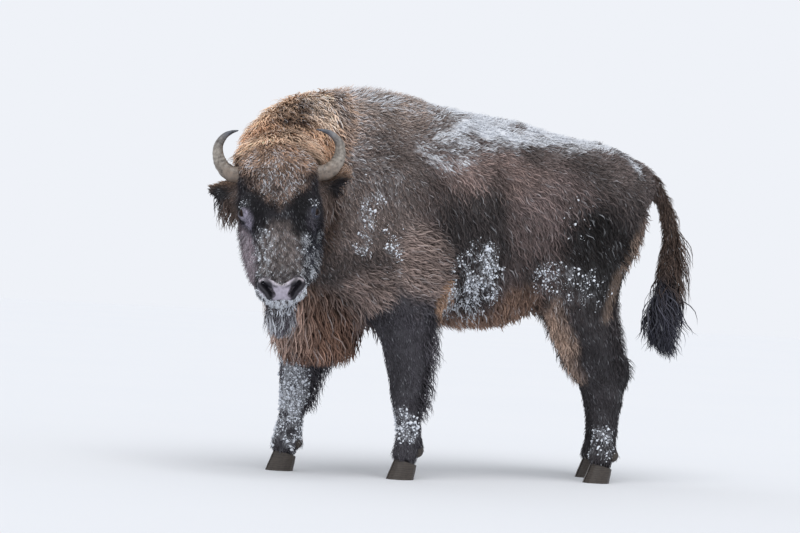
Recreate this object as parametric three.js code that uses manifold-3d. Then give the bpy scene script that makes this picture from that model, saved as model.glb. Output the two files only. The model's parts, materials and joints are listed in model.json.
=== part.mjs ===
// A standing European bison (wisent) in its winter coat, as a still, life-size museum model.
// The head is turned to the animal's left, the right foreleg is a step ahead of the left one, and the tail swings clear.
//
// Millimetres, +Z up. The body lies along X with the head towards -X, so the animal's left side faces -Y.
// The four feet stand on Z = 0, and the middle of the model's outline is over the origin.
//
// Each part is a loft of rings. A ring is found by sending rays out from a line inside the part until they leave
// the body's flesh, which is a smooth union of named masses: eggs for muscle and belly, tapered rods for limbs.

import * as THREE from 'three';
import { LoftGeometry } from 'three/addons/geometries/LoftGeometry.js';
import { mergeVertices } from 'three/addons/utils/BufferGeometryUtils.js';
import Module from 'manifold-3d';

const wasm = await Module();
wasm.setup();

// ---------------------------------------------------------------------------------------------------------------
// Driving dimensions
// ---------------------------------------------------------------------------------------------------------------

const HUMP_TOP = 1585; // the coat over the hump, above the ground
const CROUP_TOP = 1452; // the coat over the hips
const BELLY_BOTTOM = 636; // the lowest belly hair
const TRUNK_HALF_WIDTH = 322; // at the widest ribs, coat and all
const HEAD_LENGTH = 590; // poll to nose
const EYE_SPREAD = 136; // from the middle of the head to the middle of an eye
const EYE_RADIUS = 21;
const STANCE_FORE = 170; // half the distance between the fore feet
const STANCE_HIND = 150;
const HOOF_HEIGHT = 82; // at the toe
const HEEL_HEIGHT = 58;
const KERF = 1; // the thin cut that parts one piece from the next
const FAR = 5000; // more than the whole animal

const LEFT = -1; // the sign of Y on the animal's left
const RIGHT = 1;

const point = (x, y, z) => new THREE.Vector3(x, y, z);
const degrees = THREE.MathUtils.degToRad;
const mix = THREE.MathUtils.lerp;

// ---------------------------------------------------------------------------------------------------------------
// Masses: each is a function that gives a point's distance outside the mass, negative inside
// ---------------------------------------------------------------------------------------------------------------

/** An egg-shaped mass with a radius along each axis, tipped about Y so that its +X end rises by `tip` degrees. */
function egg(centre, radii, tip = 0) {
	const cos = Math.cos(degrees(tip));
	const sin = Math.sin(degrees(tip));
	return (p) => {
		const dx = p.x - centre.x;
		const dz = p.z - centre.z;
		const x = (dx * cos + dz * sin) / radii[0];
		const y = (p.y - centre.y) / radii[1];
		const z = (dz * cos - dx * sin) / radii[2];
		const reach = Math.hypot(x, y, z);
		const slope = Math.hypot(x / radii[0], y / radii[1], z / radii[2]);
		return slope > 0 ? (reach * (reach - 1)) / slope : -Math.min(...radii);
	};
}

/** A rod with round ends, of radius `ra` at `a` and `rb` at `b`. `flat` below 1 makes it thinner across Y. */
function rod(a, ra, b, rb, flat = 1) {
	const midY = (a.y + b.y) / 2;
	const squeeze = (p) => point(p.x, midY + (p.y - midY) / flat, p.z);
	const start = squeeze(a);
	const along = squeeze(b).sub(start);
	const l2 = along.lengthSq();
	const taper = ra - rb;
	const a2 = l2 - taper * taper;
	const from = new THREE.Vector3();
	const off = new THREE.Vector3();
	return (p) => {
		from.copy(squeeze(p)).sub(start);
		const y = from.dot(along);
		const z = y - l2;
		const x2 = off.copy(from).multiplyScalar(l2).addScaledVector(along, -y).lengthSq();
		const y2 = y * y * l2;
		const z2 = z * z * l2;
		const k = Math.sign(taper) * taper * taper * x2;
		if (Math.sign(z) * a2 * z2 > k) return Math.sqrt(x2 + z2) / l2 - rb;
		if (Math.sign(y) * a2 * y2 < k) return Math.sqrt(x2 + y2) / l2 - ra;
		return (Math.sqrt((x2 * a2) / l2) + y * taper) / l2 - ra;
	};
}

/** Masses that run into each other over a width of `soft`. */
function union(soft, ...masses) {
	return (p) => {
		let d = masses[0](p);
		for (let i = 1; i < masses.length; i++) {
			const e = masses[i](p);
			const near = Math.max(soft - Math.abs(d - e), 0) / soft;
			d = Math.min(d, e) - (near * near * soft) / 4;
		}
		return d;
	};
}

/** A mass with another one pressed out of it. */
const dented = (mass, dent, soft) => {
	const filled = union(soft, (p) => -mass(p), dent);
	return (p) => -filled(p);
};

/** A chain of rods through knots of { at, r }. */
const chain = (soft, knots, flat) =>
	union(soft, ...knots.slice(1).map((knot, i) => rod(knots[i].at, knots[i].r, knot.at, knot.r, flat)));

/** A mass given in the frame of `matrix`. */
function placed(mass, matrix) {
	const back = matrix.clone().invert();
	const local = new THREE.Vector3();
	return (p) => mass(local.copy(p).applyMatrix4(back));
}

// ---------------------------------------------------------------------------------------------------------------
// Lofts
// ---------------------------------------------------------------------------------------------------------------

const RAY_STEP = 5;
const RAY_LENGTH = 900;

/** How far a ray from `from` along `way` runs before it leaves the mass. */
function reachOf(mass, from, way) {
	const p = new THREE.Vector3();
	const at = (t) => mass(p.copy(from).addScaledVector(way, t));
	let out = RAY_STEP;
	while (out < RAY_LENGTH && at(out) < 0) out += RAY_STEP;
	let inside = out - RAY_STEP;
	for (let i = 0; i < 14; i++) {
		const half = (inside + out) / 2;
		if (at(half) < 0) inside = half;
		else out = half;
	}
	return Math.max(inside, 0.5);
}

/** One ring of `count` points on the mass's surface, round `axis`. `lean` tips the rays along the axis, in degrees. */
function ring(mass, { centre, axis, side, lean = 0 }, count, grow) {
	const w = axis.clone().normalize();
	const u = side.clone().addScaledVector(w, -side.dot(w)).normalize();
	const v = new THREE.Vector3().crossVectors(w, u);
	return Array.from({ length: count }, (_, i) => {
		const turn = (i / count) * Math.PI * 2;
		const way = u
			.clone()
			.multiplyScalar(Math.cos(turn))
			.addScaledVector(v, Math.sin(turn))
			.multiplyScalar(Math.cos(degrees(lean)))
			.addScaledVector(w, Math.sin(degrees(lean)));
		return centre.clone().addScaledVector(way, reachOf(mass, centre, way) + grow);
	});
}

/** Rings along a curve, with rounded ends where `domes` asks for rows of rays that lean out past the curve's ends. */
function stations(curve, rows, side, { startDome = 0, endDome = 0 } = {}) {
	const steepest = 78;
	const made = [];
	const dome = (t, sign, count) =>
		Array.from({ length: count }, (_, i) => ({
			centre: curve.getPointAt(t),
			axis: curve.getTangentAt(t),
			side,
			lean: sign * steepest * (1 - i / count),
		}));
	if (startDome) made.push(...dome(0, -1, startDome));
	for (let i = 0; i < rows; i++) {
		const t = i / (rows - 1);
		made.push({ centre: curve.getPointAt(t), axis: curve.getTangentAt(t), side });
	}
	if (endDome) made.push(...dome(1, 1, endDome).reverse());
	return made;
}

const loft = (mass, rings, count, grow = 0) =>
	new LoftGeometry(rings.map((place) => ring(mass, place, count, grow)), { capStart: true, capEnd: true });

// ---------------------------------------------------------------------------------------------------------------
// Cuts
// ---------------------------------------------------------------------------------------------------------------

function solid(geometry) {
	const bare = geometry.index ? geometry.toNonIndexed() : geometry.clone();
	bare.deleteAttribute('normal');
	bare.deleteAttribute('uv');
	const merged = mergeVertices(bare, 1e-3);
	return new wasm.Manifold(
		new wasm.Mesh({
			numProp: 3,
			vertProperties: merged.attributes.position.array,
			triVerts: new Uint32Array(merged.index.array),
		}),
	);
}

function geometryOf(manifold) {
	const mesh = manifold.getMesh();
	return new THREE.BufferGeometry()
		.setAttribute('position', new THREE.BufferAttribute(mesh.vertProperties, 3))
		.setIndex(new THREE.BufferAttribute(mesh.triVerts, 1));
}

/** A plane through a point. Its normal points to the side that is cut away. */
const plane = (through, normal) => ({ through, normal: normal.clone().normalize() });

/** A block that fills the far side of a plane, starting `gap` beyond it. */
function beyond({ through, normal }, gap) {
	const block = new THREE.BoxGeometry(2 * FAR, 2 * FAR, 2 * FAR).translate(0, 0, FAR + gap);
	block.applyQuaternion(new THREE.Quaternion().setFromUnitVectors(point(0, 0, 1), normal));
	return solid(block.translate(through.x, through.y, through.z));
}

/** A region is a list of planes, and the space on the near side of them all. `grow` moves every plane outwards. */
const keepInside = (manifold, region, grow) =>
	region.reduce((kept, side) => kept.subtract(beyond(side, grow)), manifold);

/** The solid of a region, as far as it holds any of the animal. */
const regionSolid = (region, grow) => keepInside(solid(new THREE.BoxGeometry(FAR, FAR, FAR)), region, grow);

/** A mass cut off a little outside a region, so that rays cast in it stay short. */
function clipped(mass, region, margin) {
	const off = new THREE.Vector3();
	return (p) =>
		region.reduce((d, side) => Math.max(d, off.copy(p).sub(side.through).dot(side.normal) - margin), mass(p));
}

// ---------------------------------------------------------------------------------------------------------------
// Where the head is and how it is held
// ---------------------------------------------------------------------------------------------------------------

const POLL = point(-930, -290, 1248); // the top of the skull, between the horns
const HEAD_TURN = 244.5; // the way the face looks, in degrees from +X towards +Y
const HEAD_DROOP = 24; // how far the nose swings forward of straight down
const HEAD_ROLL = 4.5; // a slight tilt of the head

/** The head's frame: X runs from the poll to the nose, Y to the animal's left, Z out of the forehead. */
const headFrame = (() => {
	const face = point(Math.cos(degrees(HEAD_TURN)), Math.sin(degrees(HEAD_TURN)), 0);
	const left = point(-face.y, face.x, 0).applyAxisAngle(face, degrees(HEAD_ROLL));
	const length = new THREE.Vector3()
		.crossVectors(left, face)
		.multiplyScalar(Math.cos(degrees(HEAD_DROOP)))
		.addScaledVector(face, Math.sin(degrees(HEAD_DROOP)));
	const brow = new THREE.Vector3().crossVectors(length, left);
	return new THREE.Matrix4().makeBasis(length, left, brow).setPosition(POLL);
})();
const inHead = (x, y, z) => point(x, y, z).applyMatrix4(headFrame);
const headWay = (x, y, z) => point(x, y, z).transformDirection(headFrame);

// ---------------------------------------------------------------------------------------------------------------
// The flesh
// ---------------------------------------------------------------------------------------------------------------

function trunkMass() {
	const ridge = chain(25, [
		{ at: point(-625, 0, HUMP_TOP - 196), r: 174 },
		{ at: point(-400, 0, HUMP_TOP - 188), r: 186 },
		{ at: point(-230, 0, HUMP_TOP - 194), r: 184 },
		{ at: point(-20, 0, HUMP_TOP - 236), r: 180 },
		{ at: point(330, 0, HUMP_TOP - 258), r: 176 },
		{ at: point(740, 0, CROUP_TOP - 176), r: 176 },
		{ at: point(890, 0, CROUP_TOP - 188), r: 146 },
	]);
	const barrel = egg(point(90, 0, 1068), [600, TRUNK_HALF_WIDTH - 12, 424]);
	const belly = egg(point(100, 0, BELLY_BOTTOM + 248), [440, 262, 246], -3);
	const chest = egg(point(-400, 0, 985), [355, 262, 372]);
	const brisket = egg(point(-600, 0, 900), [170, 165, 260]);
	const underTail = egg(point(760, 0, 1020), [160, 105, 240]);
	const limbMasses = (side, thighBack, stifleBack) => [
		egg(point(-330, side * 205, 1060), [185, 88, 330], -14), // shoulder blade and its muscles
		egg(point(-275, side * 205, 800), [190, 96, 185]), // upper arm, with its tufted point and elbow
		rod(point(520, side * 165, 1330), 78, point(600, side * 170, 1180), 110), // hip bone
		egg(point(718 + thighBack, side * 150, 1140), [200, 124, 265], 10), // buttock and thigh
		egg(point(605 + stifleBack, side * 180, 870), [185, 98, 240], 4), // thigh down to the stifle
	];
	const middle = [ridge, barrel, belly, chest, brisket, underTail];
	return union(85, ...middle, ...limbMasses(LEFT, 0, 0), ...limbMasses(RIGHT, 45, 125));
}

function neckMass() {
	return union(
		75,
		rod(point(-630, 0, 1352), 206, point(-745, -40, 1270), 220, 0.95),
		rod(point(-745, -40, 1270), 220, inHead(20, 0, -110), 172),
		egg(inHead(-55, 0, -95), [150, 150, 105]), // the crown of long hair behind the horns
		rod(point(-575, 0, 1050), 235, point(-760, -85, 1040), 185, 0.95), // the underside, heavy with hair
		rod(point(-760, -85, 1040), 185, inHead(210, 0, -165), 112), // throat
	);
}

/** Mane hair that hangs from the throat and the brisket, down between the forelegs. */
function maneMass() {
	return union(
		60,
		rod(point(-735, -30, 860), 118, point(-665, -5, 545), 88, 0.85),
		rod(point(-640, 0, 780), 150, point(-560, 0, 555), 104, 0.85),
		rod(point(-560, 0, 780), 150, point(-465, 0, 580), 104, 0.85),
		rod(point(-480, 0, 780), 130, point(-390, 0, 660), 70, 0.85),
	);
}

/** The head in its own frame: X to the nose, Y to the animal's left, Z out of the forehead. */
function headMassLocal() {
	const bySide = (make) => [make(1), make(-1)];
	const skull = union(
		42,
		egg(point(100, 0, -52), [150, 140, 122]),
		egg(point(52, 0, 26), [122, 162, 78], 6), // the cap of curls between the horns
		rod(point(200, 0, -20), 100, point(470, 0, -28), 68),
		...bySide((s) => rod(point(232, s * 102, 2), 54, point(160, s * 100, -35), 60)), // brow over each eye
		...bySide((s) => rod(point(200, s * 80, -112), 80, point(465, s * 64, -76), 58)), // cheek and jaw
		egg(point(HEAD_LENGTH - 62, 0, -30), [70, 96, 64]), // muzzle
		egg(point(HEAD_LENGTH - 72, 0, -96), [62, 66, 44]), // lower lip and chin
		...bySide((s) => egg(point(HEAD_LENGTH - 48, s * 56, 0), [34, 36, 30])), // nostril wings
	);
	const nostrils = union(
		6,
		...bySide((s) => rod(point(HEAD_LENGTH - 22, s * 54, 22), 16, point(HEAD_LENGTH - 50, s * 66, 8), 11)),
	);
	const mouth = union(
		6,
		...bySide((s) => rod(point(HEAD_LENGTH - 8, s * 26, -76), 7, point(HEAD_LENGTH - 120, s * 94, -70), 6)),
	);
	return dented(dented(skull, nostrils, 14), mouth, 12);
}

// ---------------------------------------------------------------------------------------------------------------
// Limbs
// ---------------------------------------------------------------------------------------------------------------

/** The knots of a foreleg whose knee stands at `knee`, and its fringe of long hair behind. */
function forelegMass(side, { elbow, knee, fetlock, hoof }) {
	const y = side * STANCE_FORE;
	const knots = [
		{ at: point(elbow, side * 190, 745), r: 140 },
		{ at: point(mix(elbow, knee, 0.35), side * 185, 640), r: 128 },
		{ at: point(mix(elbow, knee, 0.8), side * 178, 500), r: 106 },
		{ at: point(knee, y, 410), r: 88 },
		{ at: point(knee, y, 330), r: 72 },
		{ at: point(mix(knee, fetlock, 0.6), y, 245), r: 54 },
		{ at: point(fetlock, y, 160), r: 56 },
		{ at: point(hoof + 6, y, HOOF_HEIGHT - 10), r: 60 },
	];
	const fringe = rod(point(elbow + 60, side * 188, 660), 80, point(knee + 50, y, 390), 36, 0.7);
	return { mass: union(24, chain(20, knots, 0.8), fringe), knots, hoof, y, fetlock };
}

/** The knots of a hind leg whose hock stands at `hock`. */
function hindlegMass(side, { stifle, hock, fetlock, hoof }) {
	const y = side * STANCE_HIND;
	const knots = [
		{ at: point(stifle, side * 178, 820), r: 150 },
		{ at: point(stifle + 16, side * 174, 700), r: 151 },
		{ at: point(mix(stifle, hock, 0.3), side * 168, 620), r: 141 },
		{ at: point(mix(stifle, hock, 0.47), side * 160, 540), r: 127 },
		{ at: point(mix(stifle, hock, 0.68), y, 470), r: 106 },
		{ at: point(mix(stifle, hock, 0.84), y, 400), r: 90 },
		{ at: point(hock - 20, y, 335), r: 76 },
		{ at: point(hock - 18, y, 240), r: 56 },
		{ at: point(fetlock, y, 160), r: 55 },
		{ at: point(hoof + 6, y, HOOF_HEIGHT - 10), r: 60 },
	];
	const heel = rod(point(hock - 40, side * 165, 640), 56, point(hock + 52, y, 496), 34, 0.7);
	const heelBack = rod(point(hock + 52, y, 496), 34, point(hock + 26, y, 390), 34, 0.7);
	return { mass: union(24, chain(20, knots, 0.74), heel, heelBack), knots, hoof, y, fetlock };
}

/** The region of space that a leg is parted in: on its own side, under a slope, between a front and a back plane. */
function sleeve(side, { front, back, inner, innerTop, outerTop }) {
	const reach = 330; // where the slope has its outer height
	const rise = (outerTop - innerTop) / (reach - inner);
	const leaning = ([low, high], sign) => plane(point(low, 0, 0), point(sign * 1000, 0, -sign * (high - low)));
	return [
		plane(point(0, side * inner, 0), point(0, -side, 0)),
		plane(point(0, side * inner, innerTop), point(0, -side * rise, 1)),
		leaning(front, -1), // X at the ground and at 1000 above it
		leaning(back, 1),
	];
}

const FORE_PARTING = { inner: 95, innerTop: 690, outerTop: 900 };
const HIND_PARTING = { inner: 72, innerTop: 745, outerTop: 1010 };

const LEGS = {
	foreleg_left: {
		...forelegMass(LEFT, { elbow: -270, knee: -212, fetlock: -192, hoof: -226 }),
		region: sleeve(LEFT, { ...FORE_PARTING, front: [-430, -470], back: [-30, -80] }),
	},
	foreleg_right: {
		...forelegMass(RIGHT, { elbow: -385, knee: -545, fetlock: -572, hoof: -606 }),
		region: sleeve(RIGHT, { ...FORE_PARTING, front: [-960, -410], back: [-430, -123] }),
	},
	hindleg_left: {
		...hindlegMass(LEFT, { stifle: 592, hock: 790, fetlock: 774, hoof: 740 }),
		region: sleeve(LEFT, { ...HIND_PARTING, front: [430, 430], back: [1200, 1200] }),
	},
	hindleg_right: {
		...hindlegMass(RIGHT, { stifle: 800, hock: 945, fetlock: 928, hoof: 892 }),
		region: sleeve(RIGHT, { ...HIND_PARTING, front: [540, 540], back: [1300, 1300] }),
	},
};
const legRegions = Object.values(LEGS).map((leg) => leg.region);

// ---------------------------------------------------------------------------------------------------------------
// Trunk, neck, head and chest mane, parted by plane cuts
// ---------------------------------------------------------------------------------------------------------------

const trunkFlesh = trunkMass();
const neckFlesh = neckMass();
const headFlesh = placed(headMassLocal(), headFrame);
const wholeBody = union(60, trunkFlesh, neckFlesh, headFlesh, maneMass());

const SIDEWAYS = point(0, 1, 0);
const neckPlane = plane(point(-650, 0, 1120), point(-0.95, -0.2, 0.2));
const headPlane = plane(inHead(60, 0, -105), headWay(0.45, 0, 1));
const manePlane = plane(point(-560, 0, 720), point(0.42, 0, 1));
const flip = ({ through, normal }) => plane(through, normal.clone().negate());
const BLEED = 70; // how far a part is lofted past the planes that part it, so that the cuts leave sharp edges

const MANE_REGION = [manePlane, plane(point(-330, 0, 700), point(1, 0, 0))];

/** Takes the legs' regions and the mane's out of a solid. */
const withoutLegs = (manifold) =>
	legRegions.reduce((kept, region) => kept.subtract(regionSolid(region, KERF / 2)), manifold);
const withoutMane = (manifold) => manifold.subtract(regionSolid(MANE_REGION, KERF / 2));

function trunk(grow = 0) {
	const line = new THREE.CatmullRomCurve3([
		point(-600, 0, 1120),
		point(-300, 0, 1120),
		point(100, 0, 1110),
		point(500, 0, 1130),
		point(790, 0, 1170),
	]);
	const body = union(60, trunkFlesh, neckFlesh);
	const rings = stations(line, 21, SIDEWAYS, { startDome: 2, endDome: 5 });
	const whole = solid(loft(body, rings, 28, grow));
	return withoutMane(withoutLegs(keepInside(whole, [neckPlane], -KERF / 2)));
}

function neck(grow = 0) {
	const line = new THREE.CatmullRomCurve3([
		point(-540, 0, 1170),
		point(-660, -15, 1180),
		point(-790, -100, 1150),
		inHead(120, 0, -90),
	]);
	const rings = stations(line, 11, point(0, 0, 1), { startDome: 1, endDome: 1 });
	const whole = keepInside(solid(loft(wholeBody, rings, 26, grow)), [flip(neckPlane), headPlane], -KERF / 2);
	return withoutMane(withoutLegs(whole));
}

function chestMane() {
	const mass = clipped(wholeBody, MANE_REGION, BLEED);
	const line = new THREE.LineCurve3(point(-590, 0, 700), point(-560, 0, 570));
	const whole = solid(loft(mass, stations(line, 5, SIDEWAYS, { startDome: 3, endDome: 3 }), 22));
	return withoutLegs(keepInside(whole, MANE_REGION, -KERF / 2));
}

const eyeAt = (side) => inHead(230, side * EYE_SPREAD, 22);
const eyeball = (side, radius) => {
	const { x, y, z } = eyeAt(side);
	return solid(new THREE.SphereGeometry(radius, 11, 7).translate(x, y, z));
};

function head(grow = 0) {
	const line = new THREE.LineCurve3(inHead(30, 0, -30), inHead(HEAD_LENGTH - 80, 0, -42));
	const rings = stations(line, 16, headWay(0, 1, 0), { startDome: 3, endDome: 5 });
	const whole = solid(loft(union(60, neckFlesh, headFlesh), rings, 28, grow));
	return keepInside(whole, [flip(headPlane)], grow - KERF / 2)
		.subtract(eyeball(1, EYE_RADIUS + KERF))
		.subtract(eyeball(-1, EYE_RADIUS + KERF));
}

// ---------------------------------------------------------------------------------------------------------------
// Legs and feet
// ---------------------------------------------------------------------------------------------------------------

const CLAW_LENGTH = 118;
const CLAW_WIDTH = 49;
const CLAW_TAPER = 0.8; // the top of a claw's length to its sole's
const TOE_SLOPE = 22; // how far the front wall leans back over its height
const CLEFT = 8; // the gap between the two claws of a foot

/** The sloping plane where hair gives way to horn, over a hoof whose sole is centred on `hoof`. */
const coronet = (hoof) =>
	plane(
		point(hoof + TOE_SLOPE - (CLAW_LENGTH * CLAW_TAPER) / 2, 0, HOOF_HEIGHT),
		point(-(HOOF_HEIGHT - HEEL_HEIGHT) / (CLAW_LENGTH * CLAW_TAPER), 0, -1),
	);

/** One claw of a foot, its flat sole on the ground, its toe towards -X, round towards +Y on `side` 1. */
function claw(side) {
	const levels = 3;
	const corners = 12;
	const rings = Array.from({ length: levels }, (_, level) => {
		const t = level / (levels - 1);
		const length = CLAW_LENGTH * mix(1, CLAW_TAPER, t);
		const width = CLAW_WIDTH * mix(1, 0.88, t);
		return Array.from({ length: corners }, (_, corner) => {
			const turn = (corner / corners) * Math.PI * 2;
			const x = (Math.cos(turn) * length) / 2;
			const out = side * Math.sin(turn);
			const heelward = (1 + Math.cos(turn)) / 2;
			const y = side * (out > 0 ? out * width * mix(0.8, 1, heelward) : out * 2);
			const top = mix(HOOF_HEIGHT, HEEL_HEIGHT, x / length + 0.5);
			return point(x + TOE_SLOPE * t, y, top * t);
		});
	});
	return new LoftGeometry(rings, { capStart: true, capEnd: true });
}

/** One of the two small claws that grow behind each fetlock, half sunk in it. */
function dewclaw({ fetlock, y }, side) {
	const bead = new THREE.SphereGeometry(1, 7, 4).scale(20, 14, 24);
	bead.applyMatrix4(new THREE.Matrix4().makeRotationY(degrees(24)));
	return solid(bead.translate(fetlock + 45, y + side * 26, 120));
}

/** A leg down to its coronet. */
function leg(made) {
	const { mass, knots, hoof, region } = made;
	const line = new THREE.CatmullRomCurve3([
		...knots.slice(0, -1).map((knot) => knot.at),
		knots.at(-1).at.clone().setZ(40),
	]);
	const whole = clipped(union(60, trunkFlesh, neckFlesh, mass), region, BLEED);
	const rings = stations(line, 18, point(-1, 0, 0), { startDome: 4 });
	return keepInside(solid(loft(whole, rings, 14)), region, -KERF / 2)
		.subtract(beyond(coronet(hoof), -KERF))
		.add(dewclaw(made, LEFT))
		.add(dewclaw(made, RIGHT));
}

// ---------------------------------------------------------------------------------------------------------------
// Tail, ears, horns and beard
// ---------------------------------------------------------------------------------------------------------------

const TAIL_KNOTS = [
	{ at: point(925, 0, 1338), r: 52 },
	{ at: point(1005, -6, 1318), r: 46 },
	{ at: point(1068, -18, 1250), r: 42 },
	{ at: point(1106, -28, 1165), r: 40 },
	{ at: point(1128, -34, 1060), r: 44 },
	{ at: point(1126, -38, 955), r: 54 },
	{ at: point(1112, -40, 880), r: 62 },
];
const TUFT_KNOTS = [
	{ at: point(1118, -40, 905), r: 58 },
	{ at: point(1102, -42, 830), r: 74 },
	{ at: point(1086, -44, 745), r: 80 },
	{ at: point(1102, -46, 650), r: 74 },
	{ at: point(1140, -50, 590), r: 42 },
	{ at: point(1175, -54, 562), r: 14 },
];
const tailPlane = plane(point(1112, -40, 880), point(-0.12, 0, -1));

const curveThrough = (knots) => new THREE.CatmullRomCurve3(knots.map((knot) => knot.at));
const tail = () => solid(loft(chain(16, TAIL_KNOTS), stations(curveThrough(TAIL_KNOTS), 9, SIDEWAYS), 9));
const tailTuft = () => {
	const rings = stations(curveThrough(TUFT_KNOTS), 7, SIDEWAYS, { endDome: 1 });
	return solid(loft(chain(16, TUFT_KNOTS, 0.8), rings, 9));
};

/** Rings of `corners` points round a curve. `radiusAt` says how wide, and `front` is where each ring starts. */
function tube(curve, rows, corners, radiusAt, front) {
	const rings = Array.from({ length: rows }, (_, row) => {
		const t = row / (rows - 1);
		const w = curve.getTangent(t);
		const u = front.clone().addScaledVector(w, -front.dot(w)).normalize();
		const v = new THREE.Vector3().crossVectors(w, u);
		return Array.from({ length: corners }, (_, corner) => {
			const turn = (corner / corners) * Math.PI * 2;
			return curve
				.getPoint(t)
				.addScaledVector(u, Math.cos(turn) * radiusAt(t))
				.addScaledVector(v, Math.sin(turn) * radiusAt(t));
		});
	});
	return solid(new LoftGeometry(rings, { capStart: true, capEnd: true }));
}

/** A horn: out of the skull, then up and a little forward, and in at the tip. */
function horn(side, grow = 0) {
	const knots = [
		{ at: inHead(52, side * 118, -22), r: 37 },
		{ at: inHead(48, side * 186, -16), r: 34 },
		{ at: inHead(16, side * 225, -4), r: 29 },
		{ at: inHead(-26, side * 242, 10), r: 24 },
		{ at: inHead(-66, side * 240, 24), r: 19 },
		{ at: inHead(-98, side * 216, 36), r: 13.5 },
		{ at: inHead(-112, side * 186, 44), r: 8 },
		{ at: inHead(-117, side * 154, 50), r: 2.5 },
	];
	const curve = curveThrough(knots);
	const radiusAt = (t) => {
		const place = t * (knots.length - 1);
		const i = Math.min(Math.floor(place), knots.length - 2);
		return mix(knots[i].r, knots[i + 1].r, place - i) + grow;
	};
	return tube(curve, 13, 9, radiusAt, headWay(0, 0, 1));
}

/** An ear: a cupped leaf that stands out behind the horn, open to the front, with long hair along its lower edge. */
function ear(side) {
	const root = inHead(70, side * 112, -78);
	const lift = side > 0 ? 22 : 0; // the left ear is held a little higher
	const tip = inHead(74, side * 278, -66).add(point(0, 0, lift));
	const along = tip.clone().sub(root);
	const rows = 8;
	const corners = 10;
	const w = along.clone().normalize();
	const front = headWay(0, 0, 1);
	const u = front.addScaledVector(w, -front.dot(w)).normalize(); // out of the cup
	const v = new THREE.Vector3().crossVectors(w, u).multiplyScalar(side); // along the head towards the nose
	const leaf = (t) => Math.sin(Math.PI * Math.min(0.25 + t * 0.7, 0.97)) ** 0.7;
	const rings = Array.from({ length: rows }, (_, row) => {
		const t = row / (rows - 1);
		const upper = 40 * leaf(t);
		const lower = upper + 150 * (1 - t) ** 0.8 * Math.min(1, t * 5 + 0.1);
		const thick = mix(17, 8, t);
		return Array.from({ length: corners }, (_, corner) => {
			const turn = side * (corner / corners) * Math.PI * 2;
			const sweep = Math.sin(turn);
			const across = sweep > 0 ? sweep * lower : sweep * upper;
			const cup = 0.4 * upper * Math.min(1, (across / upper) ** 2);
			return root
				.clone()
				.addScaledVector(along, t)
				.addScaledVector(v, across)
				.addScaledVector(u, Math.cos(turn) * thick + cup);
		});
	});
	return solid(new LoftGeometry(rings, { capStart: true, capEnd: true }));
}

function beard() {
	const chin = inHead(HEAD_LENGTH - 72, 0, -98);
	const hanging = (back, drop, r) => ({ at: inHead(HEAD_LENGTH - 46, 0, -92 - back).add(point(0, 0, -drop)), r });
	const knots = [{ at: chin, r: 36 }, hanging(10, 42, 62), hanging(20, 90, 42), hanging(24, 128, 18)];
	const rings = stations(curveThrough(knots), 6, headWay(0, 1, 0), { endDome: 1 });
	return solid(loft(chain(20, knots), rings, 12));
}

// ---------------------------------------------------------------------------------------------------------------
// The whole animal
// ---------------------------------------------------------------------------------------------------------------

const material = (color, roughness) => new THREE.MeshStandardMaterial({ color, roughness, metalness: 0 });
const COAT = material(0x4a3a31, 0.95);
const NECK_COAT = material(0x7a5638, 0.95);
const FACE_COAT = material(0x2a2321, 0.9);
const LEG_COAT = material(0x2c2725, 0.92);
const MANE_HAIR = material(0x5d3f2e, 0.95);
const TAIL_HAIR = material(0x241f20, 0.85);
const HORN = material(0x77726a, 0.45);
const HOOF = material(0x2b2725, 0.55);
const EYE = material(0x120d0b, 0.08);

const bison = new THREE.Group();

/** Adds a solid as a named mesh whose position is the middle of its box. */
function add(name, manifold, look) {
	const geometry = geometryOf(manifold);
	geometry.computeBoundingBox();
	const middle = geometry.boundingBox.getCenter(new THREE.Vector3());
	geometry.translate(-middle.x, -middle.y, -middle.z);
	const mesh = new THREE.Mesh(geometry, look);
	mesh.name = name;
	mesh.position.copy(middle);
	bison.add(mesh);
}

const grownTrunk = trunk(KERF);
const grownNeck = neck(KERF);
const grownHead = head(KERF);
const clearOfHead = (manifold) => manifold.subtract(grownHead).subtract(grownNeck);

add('trunk', trunk(), COAT);
add('neck', neck(), NECK_COAT);
add('chest_mane', chestMane(), MANE_HAIR);
add('head', head(), FACE_COAT);
add('beard', clearOfHead(beard()), MANE_HAIR);

for (const [name, side] of [['left', 1], ['right', -1]]) {
	add(`eye_${name}`, eyeball(side, EYE_RADIUS), EYE);
	add(`horn_${name}`, clearOfHead(horn(side)), HORN);
	add(`ear_${name}`, clearOfHead(ear(side)).subtract(horn(side, KERF)), FACE_COAT);
}

add('tail', keepInside(tail(), [tailPlane], -KERF / 2).subtract(grownTrunk), COAT);
add('tail_tuft', keepInside(tailTuft(), [flip(tailPlane)], -KERF / 2), TAIL_HAIR);

for (const [name, made] of Object.entries(LEGS)) {
	add(name, leg(made), LEG_COAT);
	for (const [place, side] of [['inner', -Math.sign(made.y)], ['outer', Math.sign(made.y)]]) {
		const foot = claw(side).translate(made.hoof, made.y + side * (CLEFT / 2), 0);
		add(`hoof_${name}_${place}`, solid(foot), HOOF);
	}
}

const outline = new THREE.Box3().setFromObject(bison);
const middle = outline.getCenter(new THREE.Vector3());
bison.position.set(-middle.x, -middle.y, -outline.min.z);

export default bison;
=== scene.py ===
# %% [markdown]
# # A European bison in its winter coat
# The animal stands still, life size, as in a museum. Its solid parts are loaded as a frame, in metres, with
# the ground at Z = 0, the head towards -X and the animal's left side towards -Y. Around them this lesson
# makes one skin, the eyes, horns and hooves, and a coat of solid locks of hair.

# %% Load the frame
import contextlib
import json
import math

import bmesh
import bpy
import numpy as np
from mathutils import Matrix, Vector, kdtree
from mathutils.bvhtree import BVHTree

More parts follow.
